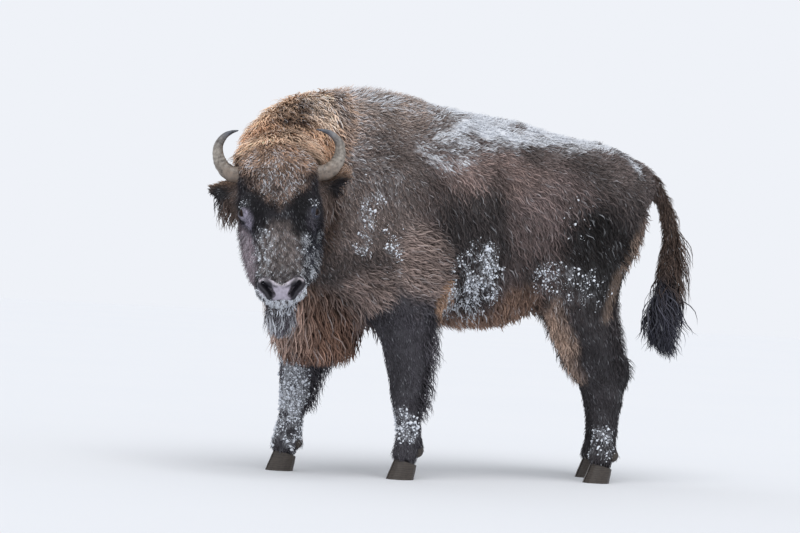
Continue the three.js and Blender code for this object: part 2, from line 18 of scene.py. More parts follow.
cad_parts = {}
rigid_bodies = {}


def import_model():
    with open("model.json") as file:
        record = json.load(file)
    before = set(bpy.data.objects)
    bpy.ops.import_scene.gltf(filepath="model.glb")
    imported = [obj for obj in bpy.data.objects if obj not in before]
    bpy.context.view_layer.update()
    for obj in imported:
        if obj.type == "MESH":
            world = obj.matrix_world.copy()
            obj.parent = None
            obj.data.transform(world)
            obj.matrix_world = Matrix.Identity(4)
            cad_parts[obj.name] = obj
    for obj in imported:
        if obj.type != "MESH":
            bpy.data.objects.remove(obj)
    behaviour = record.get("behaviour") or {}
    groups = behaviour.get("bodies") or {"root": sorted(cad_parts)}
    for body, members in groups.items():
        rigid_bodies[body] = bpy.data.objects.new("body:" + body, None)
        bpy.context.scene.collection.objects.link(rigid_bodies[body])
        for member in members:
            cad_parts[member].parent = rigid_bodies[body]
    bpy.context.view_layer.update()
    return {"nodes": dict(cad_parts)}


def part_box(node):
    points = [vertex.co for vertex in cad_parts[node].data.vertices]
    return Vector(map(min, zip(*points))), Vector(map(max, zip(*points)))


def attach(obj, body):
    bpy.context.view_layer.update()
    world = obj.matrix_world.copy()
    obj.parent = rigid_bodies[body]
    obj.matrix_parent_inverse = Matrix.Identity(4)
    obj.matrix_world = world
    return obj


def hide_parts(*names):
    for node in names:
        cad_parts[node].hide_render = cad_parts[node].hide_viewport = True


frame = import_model()
print("solids:", len(frame["nodes"]))

# %% [markdown]
# ## Small helpers
# Operators act on whatever is selected, so every step starts by selecting exactly what it works on. Vertex
# places are moved in and out of numpy in one go, which keeps work on a hundred thousand points fast.

# %% Helpers
SEED = 7


def only(*objects):
    """Selects these objects and nothing else, the last one active."""
    if bpy.context.object and bpy.context.object.mode != "OBJECT":
        bpy.ops.object.mode_set(mode="OBJECT")
    bpy.ops.object.select_all(action="DESELECT")
    for o in objects:
        o.select_set(True)
    bpy.context.view_layer.objects.active = objects[-1]


@contextlib.contextmanager
def edit_mode(o):
    """Edit mode on one object, with all of its mesh selected, for the lines under a `with`."""
    only(o)
    bpy.ops.object.mode_set(mode="EDIT")
    bpy.ops.mesh.select_all(action="SELECT")
    yield
    bpy.ops.object.mode_set(mode="OBJECT")


def apply_modifier(o, kind, **settings):
    """Adds one modifier with these settings and applies it."""
    only(o)
    modifier = o.modifiers.new(kind.title(), kind)
    for name, value in settings.items():
        setattr(modifier, name, value)
    bpy.ops.object.modifier_apply(modifier=modifier.name)


def new_object(name, data):
    """An object that shows this data, put in the scene."""
    made = bpy.data.objects.new(name, data)
    bpy.context.scene.collection.objects.link(made)
    return made


def add_mesh(operator, name, **settings):
    """A basic mesh made by this operator, selected alone."""
    bpy.ops.object.select_all(action="DESELECT")
    operator(**settings)
    made = bpy.context.object
    made.name = made.data.name = name
    return made


def finish_surface(o, weld=None):
    """Turns a mesh's faces outwards and shades it smooth, with points nearer than `weld` joined first."""
    with edit_mode(o):
        if weld:
            bpy.ops.mesh.remove_doubles(threshold=weld)
        bpy.ops.mesh.normals_make_consistent(inside=False)
    bpy.ops.object.shade_smooth()


def read(items, name, width=3, kind=np.float32):
    """One property of all these items, as an array with a row for each."""
    out = np.empty(len(items) * width, kind)
    items.foreach_get(name, out)
    return out.reshape(-1, width)


def places(mesh):
    """The vertices of a mesh as an array."""
    return read(mesh.vertices, "co").astype(float)


def put_places(mesh, co):
    """Moves the vertices of a mesh to these places."""
    mesh.vertices.foreach_set("co", np.asarray(co, np.float32).ravel())
    mesh.update()


def normals(mesh):
    return read(mesh.vertex_normals, "vector").astype(float)


def unit(v):
    """Vectors scaled to a length of 1."""
    return v / np.maximum(np.linalg.norm(v, axis=-1, keepdims=True), 1e-9)


def rise(low, high, x):
    """0 below `low`, 1 above `high` and smooth between them."""
    t = np.clip((x - low) / (high - low), 0, 1)
    return t * t * (3 - 2 * t)


def fall(low, high, x):
    """1 below `low` and 0 above `high`."""
    return 1 - rise(low, high, x)


def bell(x, width):
    """1 where x is 0, falling off on both sides."""
    return np.exp(-((x / width) ** 2))


def blob(p, centre, radii, soft=0.35):
    """1 inside an egg-shaped spot, falling to 0 over its rim."""
    d = np.linalg.norm((p - np.array(centre)) / np.array(radii), axis=-1)
    return fall(1 - soft, 1 + soft, d)


def side_spot(p, x, z, wide, tall, soft=0.35):
    """A blob as seen from the side, which goes right through the animal."""
    return blob(p * [1, 0, 1], (x, 0, z), (wide, 1, tall), soft)


def merged_copy(name, solid):
    """A copy of one of the solids, with its loose triangles welded."""
    only(frame["nodes"][solid])
    bpy.ops.object.duplicate()
    made = bpy.context.selected_objects[0]
    made.parent = None
    for key in list(made.keys()):
        del made[key]
    with edit_mode(made):
        bpy.ops.mesh.remove_doubles(threshold=0.0002)
    made.data.materials.clear()
    made.name = made.data.name = name
    return made

# %% [markdown]
# ## Wavy fields
# Hair lies in swirls, and colour drifts over a coat. Both come from the same kind of field: a few sine
# waves in mixed directions, which is smooth, repeats nowhere that shows, and is the same on every run.

# %% Wave fields
WAVE_LIMIT = 1.6  # crests higher than this are cut off


def waves(p, size, seed, count=7):
    """A smooth field from -1 to 1 whose bumps are about `size` metres across."""
    r = np.random.default_rng(seed)
    ways = unit(r.normal(size=(count, 3))) * (math.pi / size) * r.uniform(0.6, 1.5, (count, 1))
    phases = r.uniform(0, 2 * math.pi, count)
    heights = np.sin(p @ ways.T + phases).sum(-1) / math.sqrt(count)
    return np.clip(heights, -WAVE_LIMIT, WAVE_LIMIT) / WAVE_LIMIT

# %% [markdown]
# ## Where the head is
# Everything on the face is placed in the head's own frame. The two eyes give the middle of the head and the
# way across it, and the droop of the nose gives the rest: X runs from between the eyes to the nose, Y to
# the animal's left, Z out of the forehead.

# %% The head's frame
HEAD_DROOP = math.radians(24)  # how far the nose swings forward of straight down
EYES_UP_FACE, EYES_OUT = 0.23, 0.022  # the place between the eyes, from the frame's middle
EYE_RADIUS = 0.021


def middle(node):
    low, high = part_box(node)
    return np.array((low + high) / 2)


eyes = {side: middle(f"eye_{side}") for side in ("left", "right")}
across = unit(eyes["left"] - eyes["right"])
ahead = unit(np.cross(across, [0, 0, 1]))
down = np.cross(across, ahead)
nose_way = down * math.cos(HEAD_DROOP) + ahead * math.sin(HEAD_DROOP)
HEAD_AXES = np.array([nose_way, across, np.cross(nose_way, across)])
HEAD_MIDDLE = (eyes["left"] + eyes["right"]) / 2 - EYES_OUT * HEAD_AXES[2] - EYES_UP_FACE * HEAD_AXES[0]


def in_head(x, y, z):
    """A point of the head's frame, in the model's frame."""
    return HEAD_MIDDLE + np.array([x, y, z]) @ HEAD_AXES


def to_head(p):
    """Points of the model's frame, in the head's frame."""
    return (p - HEAD_MIDDLE) @ HEAD_AXES.T


print("head frame:", np.round(HEAD_MIDDLE, 3), np.round(HEAD_AXES, 3).tolist())

# %% [markdown]
# ## The skin
# The solids are closed pieces parted by thin cuts. Their copies are swelled until they overlap, joined, and
# remeshed into one closed surface, so that no seam shows between neck and trunk or at the top of a leg.
# Smoothing takes the facets off the broad parts, and the face gets a finer mesh for its lids, lips and
# nostrils.

# %% One closed surface
FLESH = ["trunk", "neck", "chest_mane", "head", "beard", "ear_left", "ear_right", "tail", "tail_tuft",
         "foreleg_left", "foreleg_right", "hindleg_left", "hindleg_right"]
VOXEL = 0.0135
OVERLAP = 0.002

swelled = []
for node in FLESH:
    piece = merged_copy("flesh", node)
    apply_modifier(piece, "DISPLACE", strength=OVERLAP, mid_level=0)
    swelled.append(piece)
only(*swelled)
bpy.ops.object.join()
skin = bpy.context.view_layer.objects.active
skin.name = skin.data.name = "skin"
apply_modifier(skin, "REMESH", mode="VOXEL", voxel_size=VOXEL)

with edit_mode(skin):
    bpy.ops.mesh.select_all(action="DESELECT")
skin.data.vertices[int(places(skin.data)[:, 2].argmax())].select = True
bpy.ops.object.mode_set(mode="EDIT")
bpy.ops.mesh.select_linked()
bpy.ops.mesh.select_all(action="INVERT")
bpy.ops.mesh.delete(type="VERT")
bpy.ops.object.mode_set(mode="OBJECT")
print("skin faces:", len(skin.data.polygons))

# %% [markdown]
# Now the whole skin is smoothed a little, then the body a lot more, and the legs and tail some more. The
# head gets only the first round, as it needs its edges.

# %% Smoothing by place
def weigh(o, name, weights):
    """A vertex group with these weights."""
    group = o.vertex_groups.new(name=name)
    for i, w in enumerate(np.asarray(weights, float)):
        if w > 0:
            group.add([i], min(w, 1.0), "REPLACE")
    return group.name


trunk_low, trunk_high = (np.array(corner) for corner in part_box("trunk"))
MIDLINE = (trunk_low[1] + trunk_high[1]) / 2

p = places(skin.data)
near_head = fall(0.30, 0.42, np.linalg.norm(p - in_head(0.25, 0, -0.05), axis=1))
BODY_ROUNDS, LIMB_ROUNDS, FACE_ROUNDS = 60, 12, 6
broad = rise(0.72, 0.95, p[:, 2]) * (1 - near_head) * fall(0.93, 0.97, p[:, 0])
apply_modifier(skin, "SMOOTH", factor=0.5, iterations=5)
apply_modifier(skin, "SMOOTH", factor=0.5, iterations=BODY_ROUNDS, vertex_group=weigh(skin, "broad", broad))
apply_modifier(skin, "SMOOTH", factor=0.5, iterations=LIMB_ROUNDS,
               vertex_group=weigh(skin, "limbs", (1 - broad) * (1 - near_head)))

# %% [markdown]
# The faces of the head are halved once, and twice more round the eyes and the nose, where the small forms
# are.

# %% A finer mesh on the face
EYE_SPOTS = [in_head(0.232, side * 0.132, 0.026) for side in (1, -1)]
NOSE_SPOT = in_head(0.552, 0, 0.0)
FACE_LOW, FACE_HIGH = (0.12, -0.2, -0.15), (0.66, 0.2, 0.16)
FINE_REACH = ((0.060, 0.105), (0.040, 0.088))  # how far from an eye and from the nose


def face_centres():
    return read(skin.data.polygons, "center").astype(float)


def refine(mask):
    """Halves these faces of the skin."""
    with edit_mode(skin):
        bpy.ops.mesh.select_mode(type="FACE")
        bpy.ops.mesh.select_all(action="DESELECT")
    skin.data.polygons.foreach_set("select", mask)
    bpy.ops.object.mode_set(mode="EDIT")
    bpy.ops.mesh.subdivide(number_cuts=1)
    bpy.ops.object.mode_set(mode="OBJECT")


h = to_head(face_centres())
refine(np.all((h > FACE_LOW) & (h < FACE_HIGH), axis=1))
for eye_reach, nose_reach in FINE_REACH:
    at = face_centres()
    close = np.linalg.norm(at - NOSE_SPOT, axis=1) < nose_reach
    for spot in EYE_SPOTS:
        close |= np.linalg.norm(at - spot, axis=1) < eye_reach
    refine(close)
h = to_head(places(skin.data))
face = rise(0.08, 0.16, h[:, 0]) * (np.linalg.norm(h - [0.35, 0, -0.03], axis=1) < 0.34)
apply_modifier(skin, "SMOOTH", factor=0.5, iterations=FACE_ROUNDS, vertex_group=weigh(skin, "face", face))
print("skin faces with a fine face:", len(skin.data.polygons))

# %% [markdown]
# ## Which part a point belongs to
# Hair length, lie and colour differ from part to part. Each point of the skin takes its part from the
# nearest solid, and the borders are blurred by averaging along the skin's edges, so that one kind of hair
# runs into the next.

# %% Shares of the parts
rng = np.random.default_rng(SEED)


def triangles(mesh):
    """The corners of a mesh's triangles, their loops and their areas."""
    mesh.calc_loop_triangles()
    made = mesh.loop_triangles
    return (read(made, "vertices", kind=np.int32), read(made, "loops", kind=np.int32),
            read(made, "area", 1)[:, 0].astype(float))


def scatter(area, count):
    """Random points on triangles: which triangle each is on, and its weights on the corners."""
    chosen = rng.choice(len(area), count, p=area / area.sum())
    a, b = np.sqrt(rng.random(count)), rng.random(count)
    return chosen, np.stack([1 - a, a * (1 - b), a * b], 1)


PARTS = {"trunk": ["trunk"], "neck": ["neck"], "mane": ["chest_mane"], "head": ["head"], "beard": ["beard"],
         "ear": ["ear_left", "ear_right"], "tail": ["tail"], "tuft": ["tail_tuft"],
         "foreleg": ["foreleg_left", "foreleg_right"], "hindleg": ["hindleg_left", "hindleg_right"]}
MARKER_SPACING = 0.02
markers = []
for part, nodes in PARTS.items():
    for node in nodes:
        mesh = frame["nodes"][node].data
        corners, _, area = triangles(mesh)
        chosen, w = scatter(area, int(area.sum() / MARKER_SPACING**2) + 60)
        at = (places(mesh)[corners[chosen]] * w[:, :, None]).sum(1)
        markers += [(tuple(x), part) for x in at]
tree = kdtree.KDTree(len(markers))
for i, (x, _) in enumerate(markers):
    tree.insert(x, i)
tree.balance()

names = list(PARTS)
nearest = np.array([names.index(markers[tree.find(x)[1]][1]) for x in places(skin.data)])
edges = read(skin.data.edges, "vertices", 2, np.int32)
degree = np.bincount(edges.ravel(), minlength=len(nearest))


def blurred(values, rounds):
    """Values averaged along the skin's edges, so many times."""
    for _ in range(rounds):
        sums = np.bincount(edges[:, 0], values[edges[:, 1]], len(values))
        sums += np.bincount(edges[:, 1], values[edges[:, 0]], len(values))
        values = 0.5 * values + 0.5 * sums / degree
    return values


SHARE = {part: blurred((nearest == i).astype(float), 14) for i, part in enumerate(names)}
print("markers:", len(markers))

# %% [markdown]
# ## The coat's depth
# The solids go out to the tips of the hair, so the skin lies inside them by the depth of the coat at each
# place: hardly at all on the nose and feet, and by a hand's breadth inside the mane. A displace modifier
# with a vertex group moves it in.

# %% Draw the skin in
COAT_DEPTH = {"trunk": 0.018, "neck": 0.034, "mane": 0.050, "head": 0.007, "beard": 0.020, "ear": 0.002,
              "tail": 0.014, "tuft": 0.036, "foreleg": 0.010, "hindleg": 0.010}
DEEPEST = 0.060
HOCK_HEIGHT, HOCK_RISE = 0.47, 0.016


def on_head(p):
    """0 to 1: how far a point is on the forehead's cap of curls, and how far on bare skin round the nose."""
    h = to_head(p)
    cap = rise(-0.02, 0.05, h[:, 2]) * fall(0.18, 0.26, h[:, 0] + 0.8 * np.abs(h[:, 1]))
    rim = 0.544 - 0.6 * np.abs(h[:, 1])  # the pale edge where hair gives way to the nose
    bare = rise(-0.006, 0.004, h[:, 0] - rim) * rise(-0.012, 0.006, h[:, 2]) * (np.abs(h[:, 1]) < 0.1)
    return cap, bare


p = places(skin.data)
cap, bare = on_head(p)
depth = sum(SHARE[part] * d for part, d in COAT_DEPTH.items())
depth += SHARE["head"] * (0.016 * cap - 0.006 * bare)
under_belly = SHARE["trunk"] * fall(0.68, 0.80, p[:, 2])
low_leg = (SHARE["foreleg"] + SHARE["hindleg"]) * fall(0.20, 0.42, p[:, 2])
high = rise(1.42, 1.55, p[:, 2])
depth += 0.012 * under_belly - 0.006 * low_leg - (0.013 * SHARE["trunk"] + 0.014 * SHARE["neck"]) * high
only(skin)
apply_modifier(skin, "DISPLACE", strength=-DEEPEST, mid_level=0,
               vertex_group=weigh(skin, "coat depth", depth / DEEPEST))
apply_modifier(skin, "SMOOTH", factor=0.5, iterations=2)
p, n = places(skin.data), normals(skin.data)
for side in (-1, 1):
    shin = (SHARE["hindleg"] > 0.5) & ((p[:, 1] - MIDLINE) * side > 0)
    shin &= np.abs(p[:, 2] - HOCK_HEIGHT) < 0.05
    hock = p[shin][p[shin, 0].argmax()]
    p += n * (HOCK_RISE * blob(p, hock, (0.06, 0.06, 0.07)))[:, None]
put_places(skin.data, p)
print("coat depth from", round(depth.min(), 4), "to", round(depth.max(), 4))

# %% [markdown]
# ## The face
# A bison's nostrils are commas: a round hole next to the bare nose and a tail that sweeps up and out. A
# pale ridge runs over them and dips to the middle of the nose. The lids are folds of skin round the
# eyeball, so the skin near each eye is fitted to a shell just outside it, and drawn in behind it inside the
# almond of the lids.

# %% Nostrils, nose ridge and mouth
NOSTRIL = [(0.571, 0.036, 0.016), (0.556, 0.046, 0.023), (0.536, 0.062, 0.022), (0.525, 0.069, 0.019)]
NOSTRIL_WIDTH = 0.0140
NOSTRIL_DEPTH = 0.030
NOSE_RIDGE = [(0.515, 0.083, 0.018), (0.513, 0.068, 0.029), (0.521, 0.048, 0.036), (0.537, 0.022, 0.040),
              (0.543, 0.0, 0.040)]
MOUTH = [(0.606, 0.0, -0.062), (0.598, 0.040, -0.066), (0.566, 0.078, -0.072), (0.500, 0.096, -0.082)]
UPPER_LIP = [(0.600, 0.0, -0.040), (0.594, 0.040, -0.030), (0.578, 0.074, -0.022), (0.548, 0.100, -0.024)]
# lines along which the skin is raised or drawn in, with height and width
RAISED = ((NOSE_RIDGE, 0.0050, 0.0060), (UPPER_LIP, 0.0050, 0.012), (MOUTH, -0.0080, 0.0060))
WING_OFFSET, WING_WIDTH, WING_HEIGHT = 0.022, 0.006, 0.0040  # the raised edge round the nostril


def distance_to(h, line, side):
    """Distance from points to a line through other points. A side of -1 mirrors the line."""
    pts = np.array(line) * [1, side, 1]
    best = np.full(len(h), 9.0)
    for a, b in zip(pts[:-1], pts[1:]):
        t = np.clip(((h - a) @ (b - a)) / ((b - a) @ (b - a)), 0, 1)
        best = np.minimum(best, np.linalg.norm(h - a - t[:, None] * (b - a), axis=1))
    return best


def to_either(h, line):
    """Distance to a line or to its mirror image, whichever is nearer."""
    return np.minimum(distance_to(h, line, 1), distance_to(h, line, -1))


h = to_head(places(skin.data))
n = normals(skin.data) @ HEAD_AXES.T
for side in (1, -1):
    off = distance_to(h, NOSTRIL, side)
    hole_to_tail = rise(0.51, 0.555, h[:, 0])
    inward = unit(np.array([-0.50, -0.25 * side, -0.80]))
    deep = NOSTRIL_DEPTH * (0.30 + 0.70 * hole_to_tail) * fall(0.3, 1.0, off / NOSTRIL_WIDTH)
    h += inward * deep[:, None]
    wing = bell(off - WING_OFFSET, WING_WIDTH) * (h[:, 1] * side > 0.03)
    h += n * (WING_HEIGHT * wing)[:, None]
    for line, height, width in RAISED:
        h += n * (height * bell(distance_to(h, line, side), width))[:, None]

# %% [markdown]
# Each eye gets directions of its own: where it looks, towards its inner corner, and towards its upper lid.
# Round it the skin is raised and drawn in by soft spots.

# %% Brows, cheeks and eye sockets
# half the opening between the lids, as sines of angles at the eye's middle
EYE_LENGTH, EYE_HEIGHT = 0.84, 0.62
LID_GAP = 0.0014  # from the eyeball to the inside of the lids
# the head turns to the left, which pushes the skin of that cheek out
CHEEK_BULGE = {"left": 0.022, "right": 0.005}
EAR_RAISE = 0.026  # the left ear is pricked a little higher
eye_frames = {}
for name, side in (("left", 1), ("right", -1)):
    centre = to_head(eyes[name][None])[0]
    gaze = unit(np.array([0.02, 0.83 * side, 0.56]))
    inner = np.array([0.857, 0.0, 0.516])  # towards the inner corner of the eye
    inner = unit(inner - gaze * (inner @ gaze))
    lift = np.cross(gaze, inner) * side  # towards the upper lid
    if lift[0] > 0:
        lift = -lift
    eye_frames[name] = (centre, gaze, inner, lift)
    for height, spot, radii in (
            (0.010, centre + [-0.046, 0.0, 0.016], (0.042, 0.040, 0.040)),  # brow
            (0.006, centre + inner * 0.052, (0.030, 0.022, 0.030)),  # inner corner
            (-0.007, centre + [0.060, -0.055 * side, 0.012], (0.060, 0.030, 0.035)),  # beside the bridge
            (-0.006, [0.42, 0.118 * side, -0.010], (0.09, 0.04, 0.025)),  # above the mouth
            (CHEEK_BULGE[name], [0.31, 0.135 * side, -0.060], (0.17, 0.07, 0.075))):
        h += n * (height * blob(h, spot, radii))[:, None]
p = h @ HEAD_AXES + HEAD_MIDDLE
p[:, 2] += EAR_RAISE * SHARE["ear"] * rise(0.10, 0.16, h[:, 1])
put_places(skin.data, p)

# %% [markdown]
# The lids of an eye are a grid of points, rings round the opening by steps outwards. It starts on a shell
# just outside the eyeball, and fades into the skin of the face, which is found by rays along the eye's own
# direction.

# %% Eyelids
AROUND, OUTWARD = 96, 34
LID_REACH = 2.3  # how far the lid's skin runs from the eye's middle, in eyeball radii
# folds of the lids: where they are from edge to rim, and their height
LID_FOLDS, FOLD_WIDTH = ((0.20, 0.0022), (0.38, 0.0030), (0.56, 0.0022)), 0.055
LID_SKIN, LID_SINK = 0.0022, 0.0030  # the lids' thickness, and how far their last ring goes under the face
LID_END = 1.7  # the last ring's angle on the shell
RAY_START = 0.07  # how far out from the eye's middle the rays start
SOCKET_DEPTH = 0.016  # how far the skin is drawn in behind the lids


def lid_edge(turn):
    """The direction of the lids' edge at angles round the eye: along it, up it, outwards."""
    a = EYE_LENGTH * np.cos(turn)
    b = EYE_HEIGHT * np.where(np.sin(turn) > 0, 1.0, 0.70) * np.sin(turn) * (1 - 0.35 * np.cos(turn) ** 2)
    return a, b, np.sqrt(1 - a**2 - b**2)


def oriented(centre, axes, local):
    """Points given along three axes of the head's frame, in the model's frame."""
    return (centre + local @ np.array(axes)) @ HEAD_AXES + HEAD_MIDDLE


surface = BVHTree.FromPolygons([tuple(v) for v in places(skin.data)],
                               [tuple(f.vertices) for f in skin.data.polygons])
turn = np.linspace(0, 2 * math.pi, AROUND, endpoint=False)
step = np.linspace(0, 1, OUTWARD)[:, None]
lids = []
for name, (centre, gaze, inner, lift) in eye_frames.items():
    a, b, c = lid_edge(turn)
    way = np.arctan2(b, a)
    flat = np.stack([np.cos(way), np.sin(way), 0 * way], 1)
    angle = np.arccos(c) + step * (LID_END - np.arccos(c))
    upper = np.clip(flat[:, 1], 0, 1)
    folds = sum(height * bell(step - at, FOLD_WIDTH) for at, height in LID_FOLDS)
    thick = EYE_RADIUS + LID_GAP + LID_SKIN * rise(0, 0.08, step) + folds * (0.25 + 0.75 * upper)
    angle, thick = angle[:, :, None], thick[:, :, None]
    on_ball = (flat[None] * np.sin(angle) + [0, 0, 1] * np.cos(angle)) * thick
    reach = EYE_RADIUS * (np.sin(np.arccos(c)) + step * (LID_REACH - np.sin(np.arccos(c))))
    above = (flat[None] * reach[:, :, None] + [0, 0, RAY_START]).reshape(-1, 3)
    above = oriented(centre, (inner, lift, gaze), above)
    aim = Vector(-gaze @ HEAD_AXES)
    hits = [surface.ray_cast(Vector(q), aim)[0] for q in above]
    on_ball = oriented(centre, (inner, lift, gaze), on_ball.reshape(-1, 3))
    on_skin = np.array([q if hit is None else hit for q, hit in zip(on_ball, hits)])
    fade = (rise(0.30, 0.85, step) + 0 * turn).reshape(-1, 1)
    sink = (LID_SINK * rise(0.88, 1.0, step) + 0 * turn).reshape(-1, 1)
    creases = (folds * fall(0.7, 1.0, step) * (0.3 + 0.7 * upper)).reshape(-1, 1) * 0.6
    outwards = gaze @ HEAD_AXES
    verts = on_ball * (1 - fade) + (on_skin + outwards * creases) * fade - outwards * sink
    faces = [(k + j, k + (j + 1) % AROUND, k + AROUND + (j + 1) % AROUND, k + AROUND + j)
             for k in range(0, AROUND * (OUTWARD - 1), AROUND) for j in range(AROUND)]
    mesh = bpy.data.meshes.new(f"lids_{name}")
    mesh.from_pydata([tuple(v) for v in verts], [], faces)
    if sum(np.array(f.normal) @ outwards for f in mesh.polygons) < 0:
        mesh.flip_normals()
    lids.append(new_object(f"lids_{name}", mesh))

for centre, gaze, *_ in eye_frames.values():
    h = to_head(places(skin.data))
    far = np.linalg.norm(h - centre, axis=1)
    h -= gaze * (SOCKET_DEPTH * fall(EYE_RADIUS * 1.5, EYE_RADIUS * 2.15, far))[:, None]
    put_places(skin.data, h @ HEAD_AXES + HEAD_MIDDLE)
added = sum(len(lid.data.vertices) for lid in lids)
only(*lids, skin)
bpy.ops.object.join()
for part in SHARE:
    SHARE[part] = np.concatenate([SHARE[part], np.full(added, 1.0 if part == "head" else 0.0)])
print("skin:", len(skin.data.vertices), "points, lids:", added)

# %% [markdown]
# ## Markings
# The colours are written as they look in plain light. Each marking is a soft spot or band placed on the
# animal's own parts. The same function gives the colours of the skin and of the hair, so that both carry
# the same pattern.

# %% Colours
def shade(red, green, blue):
    """A colour as it looks, 0 to 255, turned into the light it reflects."""
    c = np.array([red, green, blue]) / 255
    return np.where(c <= 0.04045, c / 12.92, ((c + 0.055) / 1.055) ** 2.4)


FLANK, DARK_FLANK, SHOULDER = shade(101, 88, 86), shade(68, 62, 62), shade(136, 122, 117)
HUMP, GINGER, BLOND = shade(184, 166, 156), shade(218, 177, 146), shade(244, 214, 186)
RUST, CREAM, STRAW = shade(88, 71, 62), shade(252, 226, 204), shade(250, 216, 188)
CURL, WARM, MANE = shade(92, 70, 58), shade(158, 136, 130), shade(128, 100, 86)
MANE_TIP, PALE_MANE, FACE = shade(74, 60, 58), shade(176, 150, 138), shade(44, 41, 46)
FOREHEAD, BRIDGE, EYE_RING = shade(146, 124, 112), shade(134, 122, 118), shade(30, 28, 32)
CHIN, NOSE, NOSTRIL_SHADE = shade(98, 93, 100), shade(170, 163, 177), shade(12, 11, 14)
# the second colour is the dark grey of the painted shade round the nostrils and behind the nose ridge
RIM, NOSE_SHADE, LID = shade(208, 200, 206), shade(40, 38, 45), shade(164, 158, 175)
CHEEK, CHEEK_EDGE, LEG = shade(46, 46, 54), shade(172, 157, 165), shade(76, 73, 79)
HIND_LEG, BELLY, TAN = shade(62, 58, 61), shade(150, 120, 102), shade(222, 192, 172)
RUMP, TAIL, TUFT = shade(82, 75, 75), shade(94, 78, 70), shade(66, 66, 76)
ELBOW, EAR, EAR_EDGE = shade(145, 128, 122), shade(104, 88, 81), shade(166, 138, 118)
# the second colour is the lids' skin in painted shade, used for the left eye, whose lids are painted darker
# than the right eye's
EAR_INSIDE, LEFT_LID_SHADED, FROST = shade(34, 31, 34), shade(62, 68, 86), shade(234, 237, 244)

# lines over the thigh: its tan front edge and, along its rear edge, a paler painted highlight
STIFLE = [(0.395, 0, 0.74), (0.435, 0, 0.63), (0.50, 0, 0.51), (0.555, 0, 0.44)]
THIGH_BACK_HIGHLIGHT = [(0.89, 0, 1.15), (0.82, 0, 1.05), (0.76, 0, 0.945), (0.71, 0, 0.86), (0.675, 0, 0.78),
              (0.66, 0, 0.70)]
# on the face
LIP_FROST = [(0.600, 0.0, -0.032), (0.596, 0.040, -0.026), (0.582, 0.074, -0.018), (0.556, 0.096, -0.018)]
JAW_EDGE = [(0.575, 0.088, -0.034), (0.50, 0.114, -0.044), (0.42, 0.136, -0.052), (0.33, 0.150, -0.058),
            (0.27, 0.150, -0.05)]
COAT_FIELDS = (0.16, 3), (0.08, 8), (0.045, 4), (0.012, 42)  # size and seed, broad to fine
FAR_CHEEK = (0.38, -0.135, -0.06), (0.17, 0.05, 0.05), 0.4  # its middle, radii and softness


def lay_on(colour, new, amount):
    """Colours moved towards a new one, by an amount from 0 to 1 at each point."""
    return colour + (new - colour) * np.clip(amount, 0, 1)[:, None]


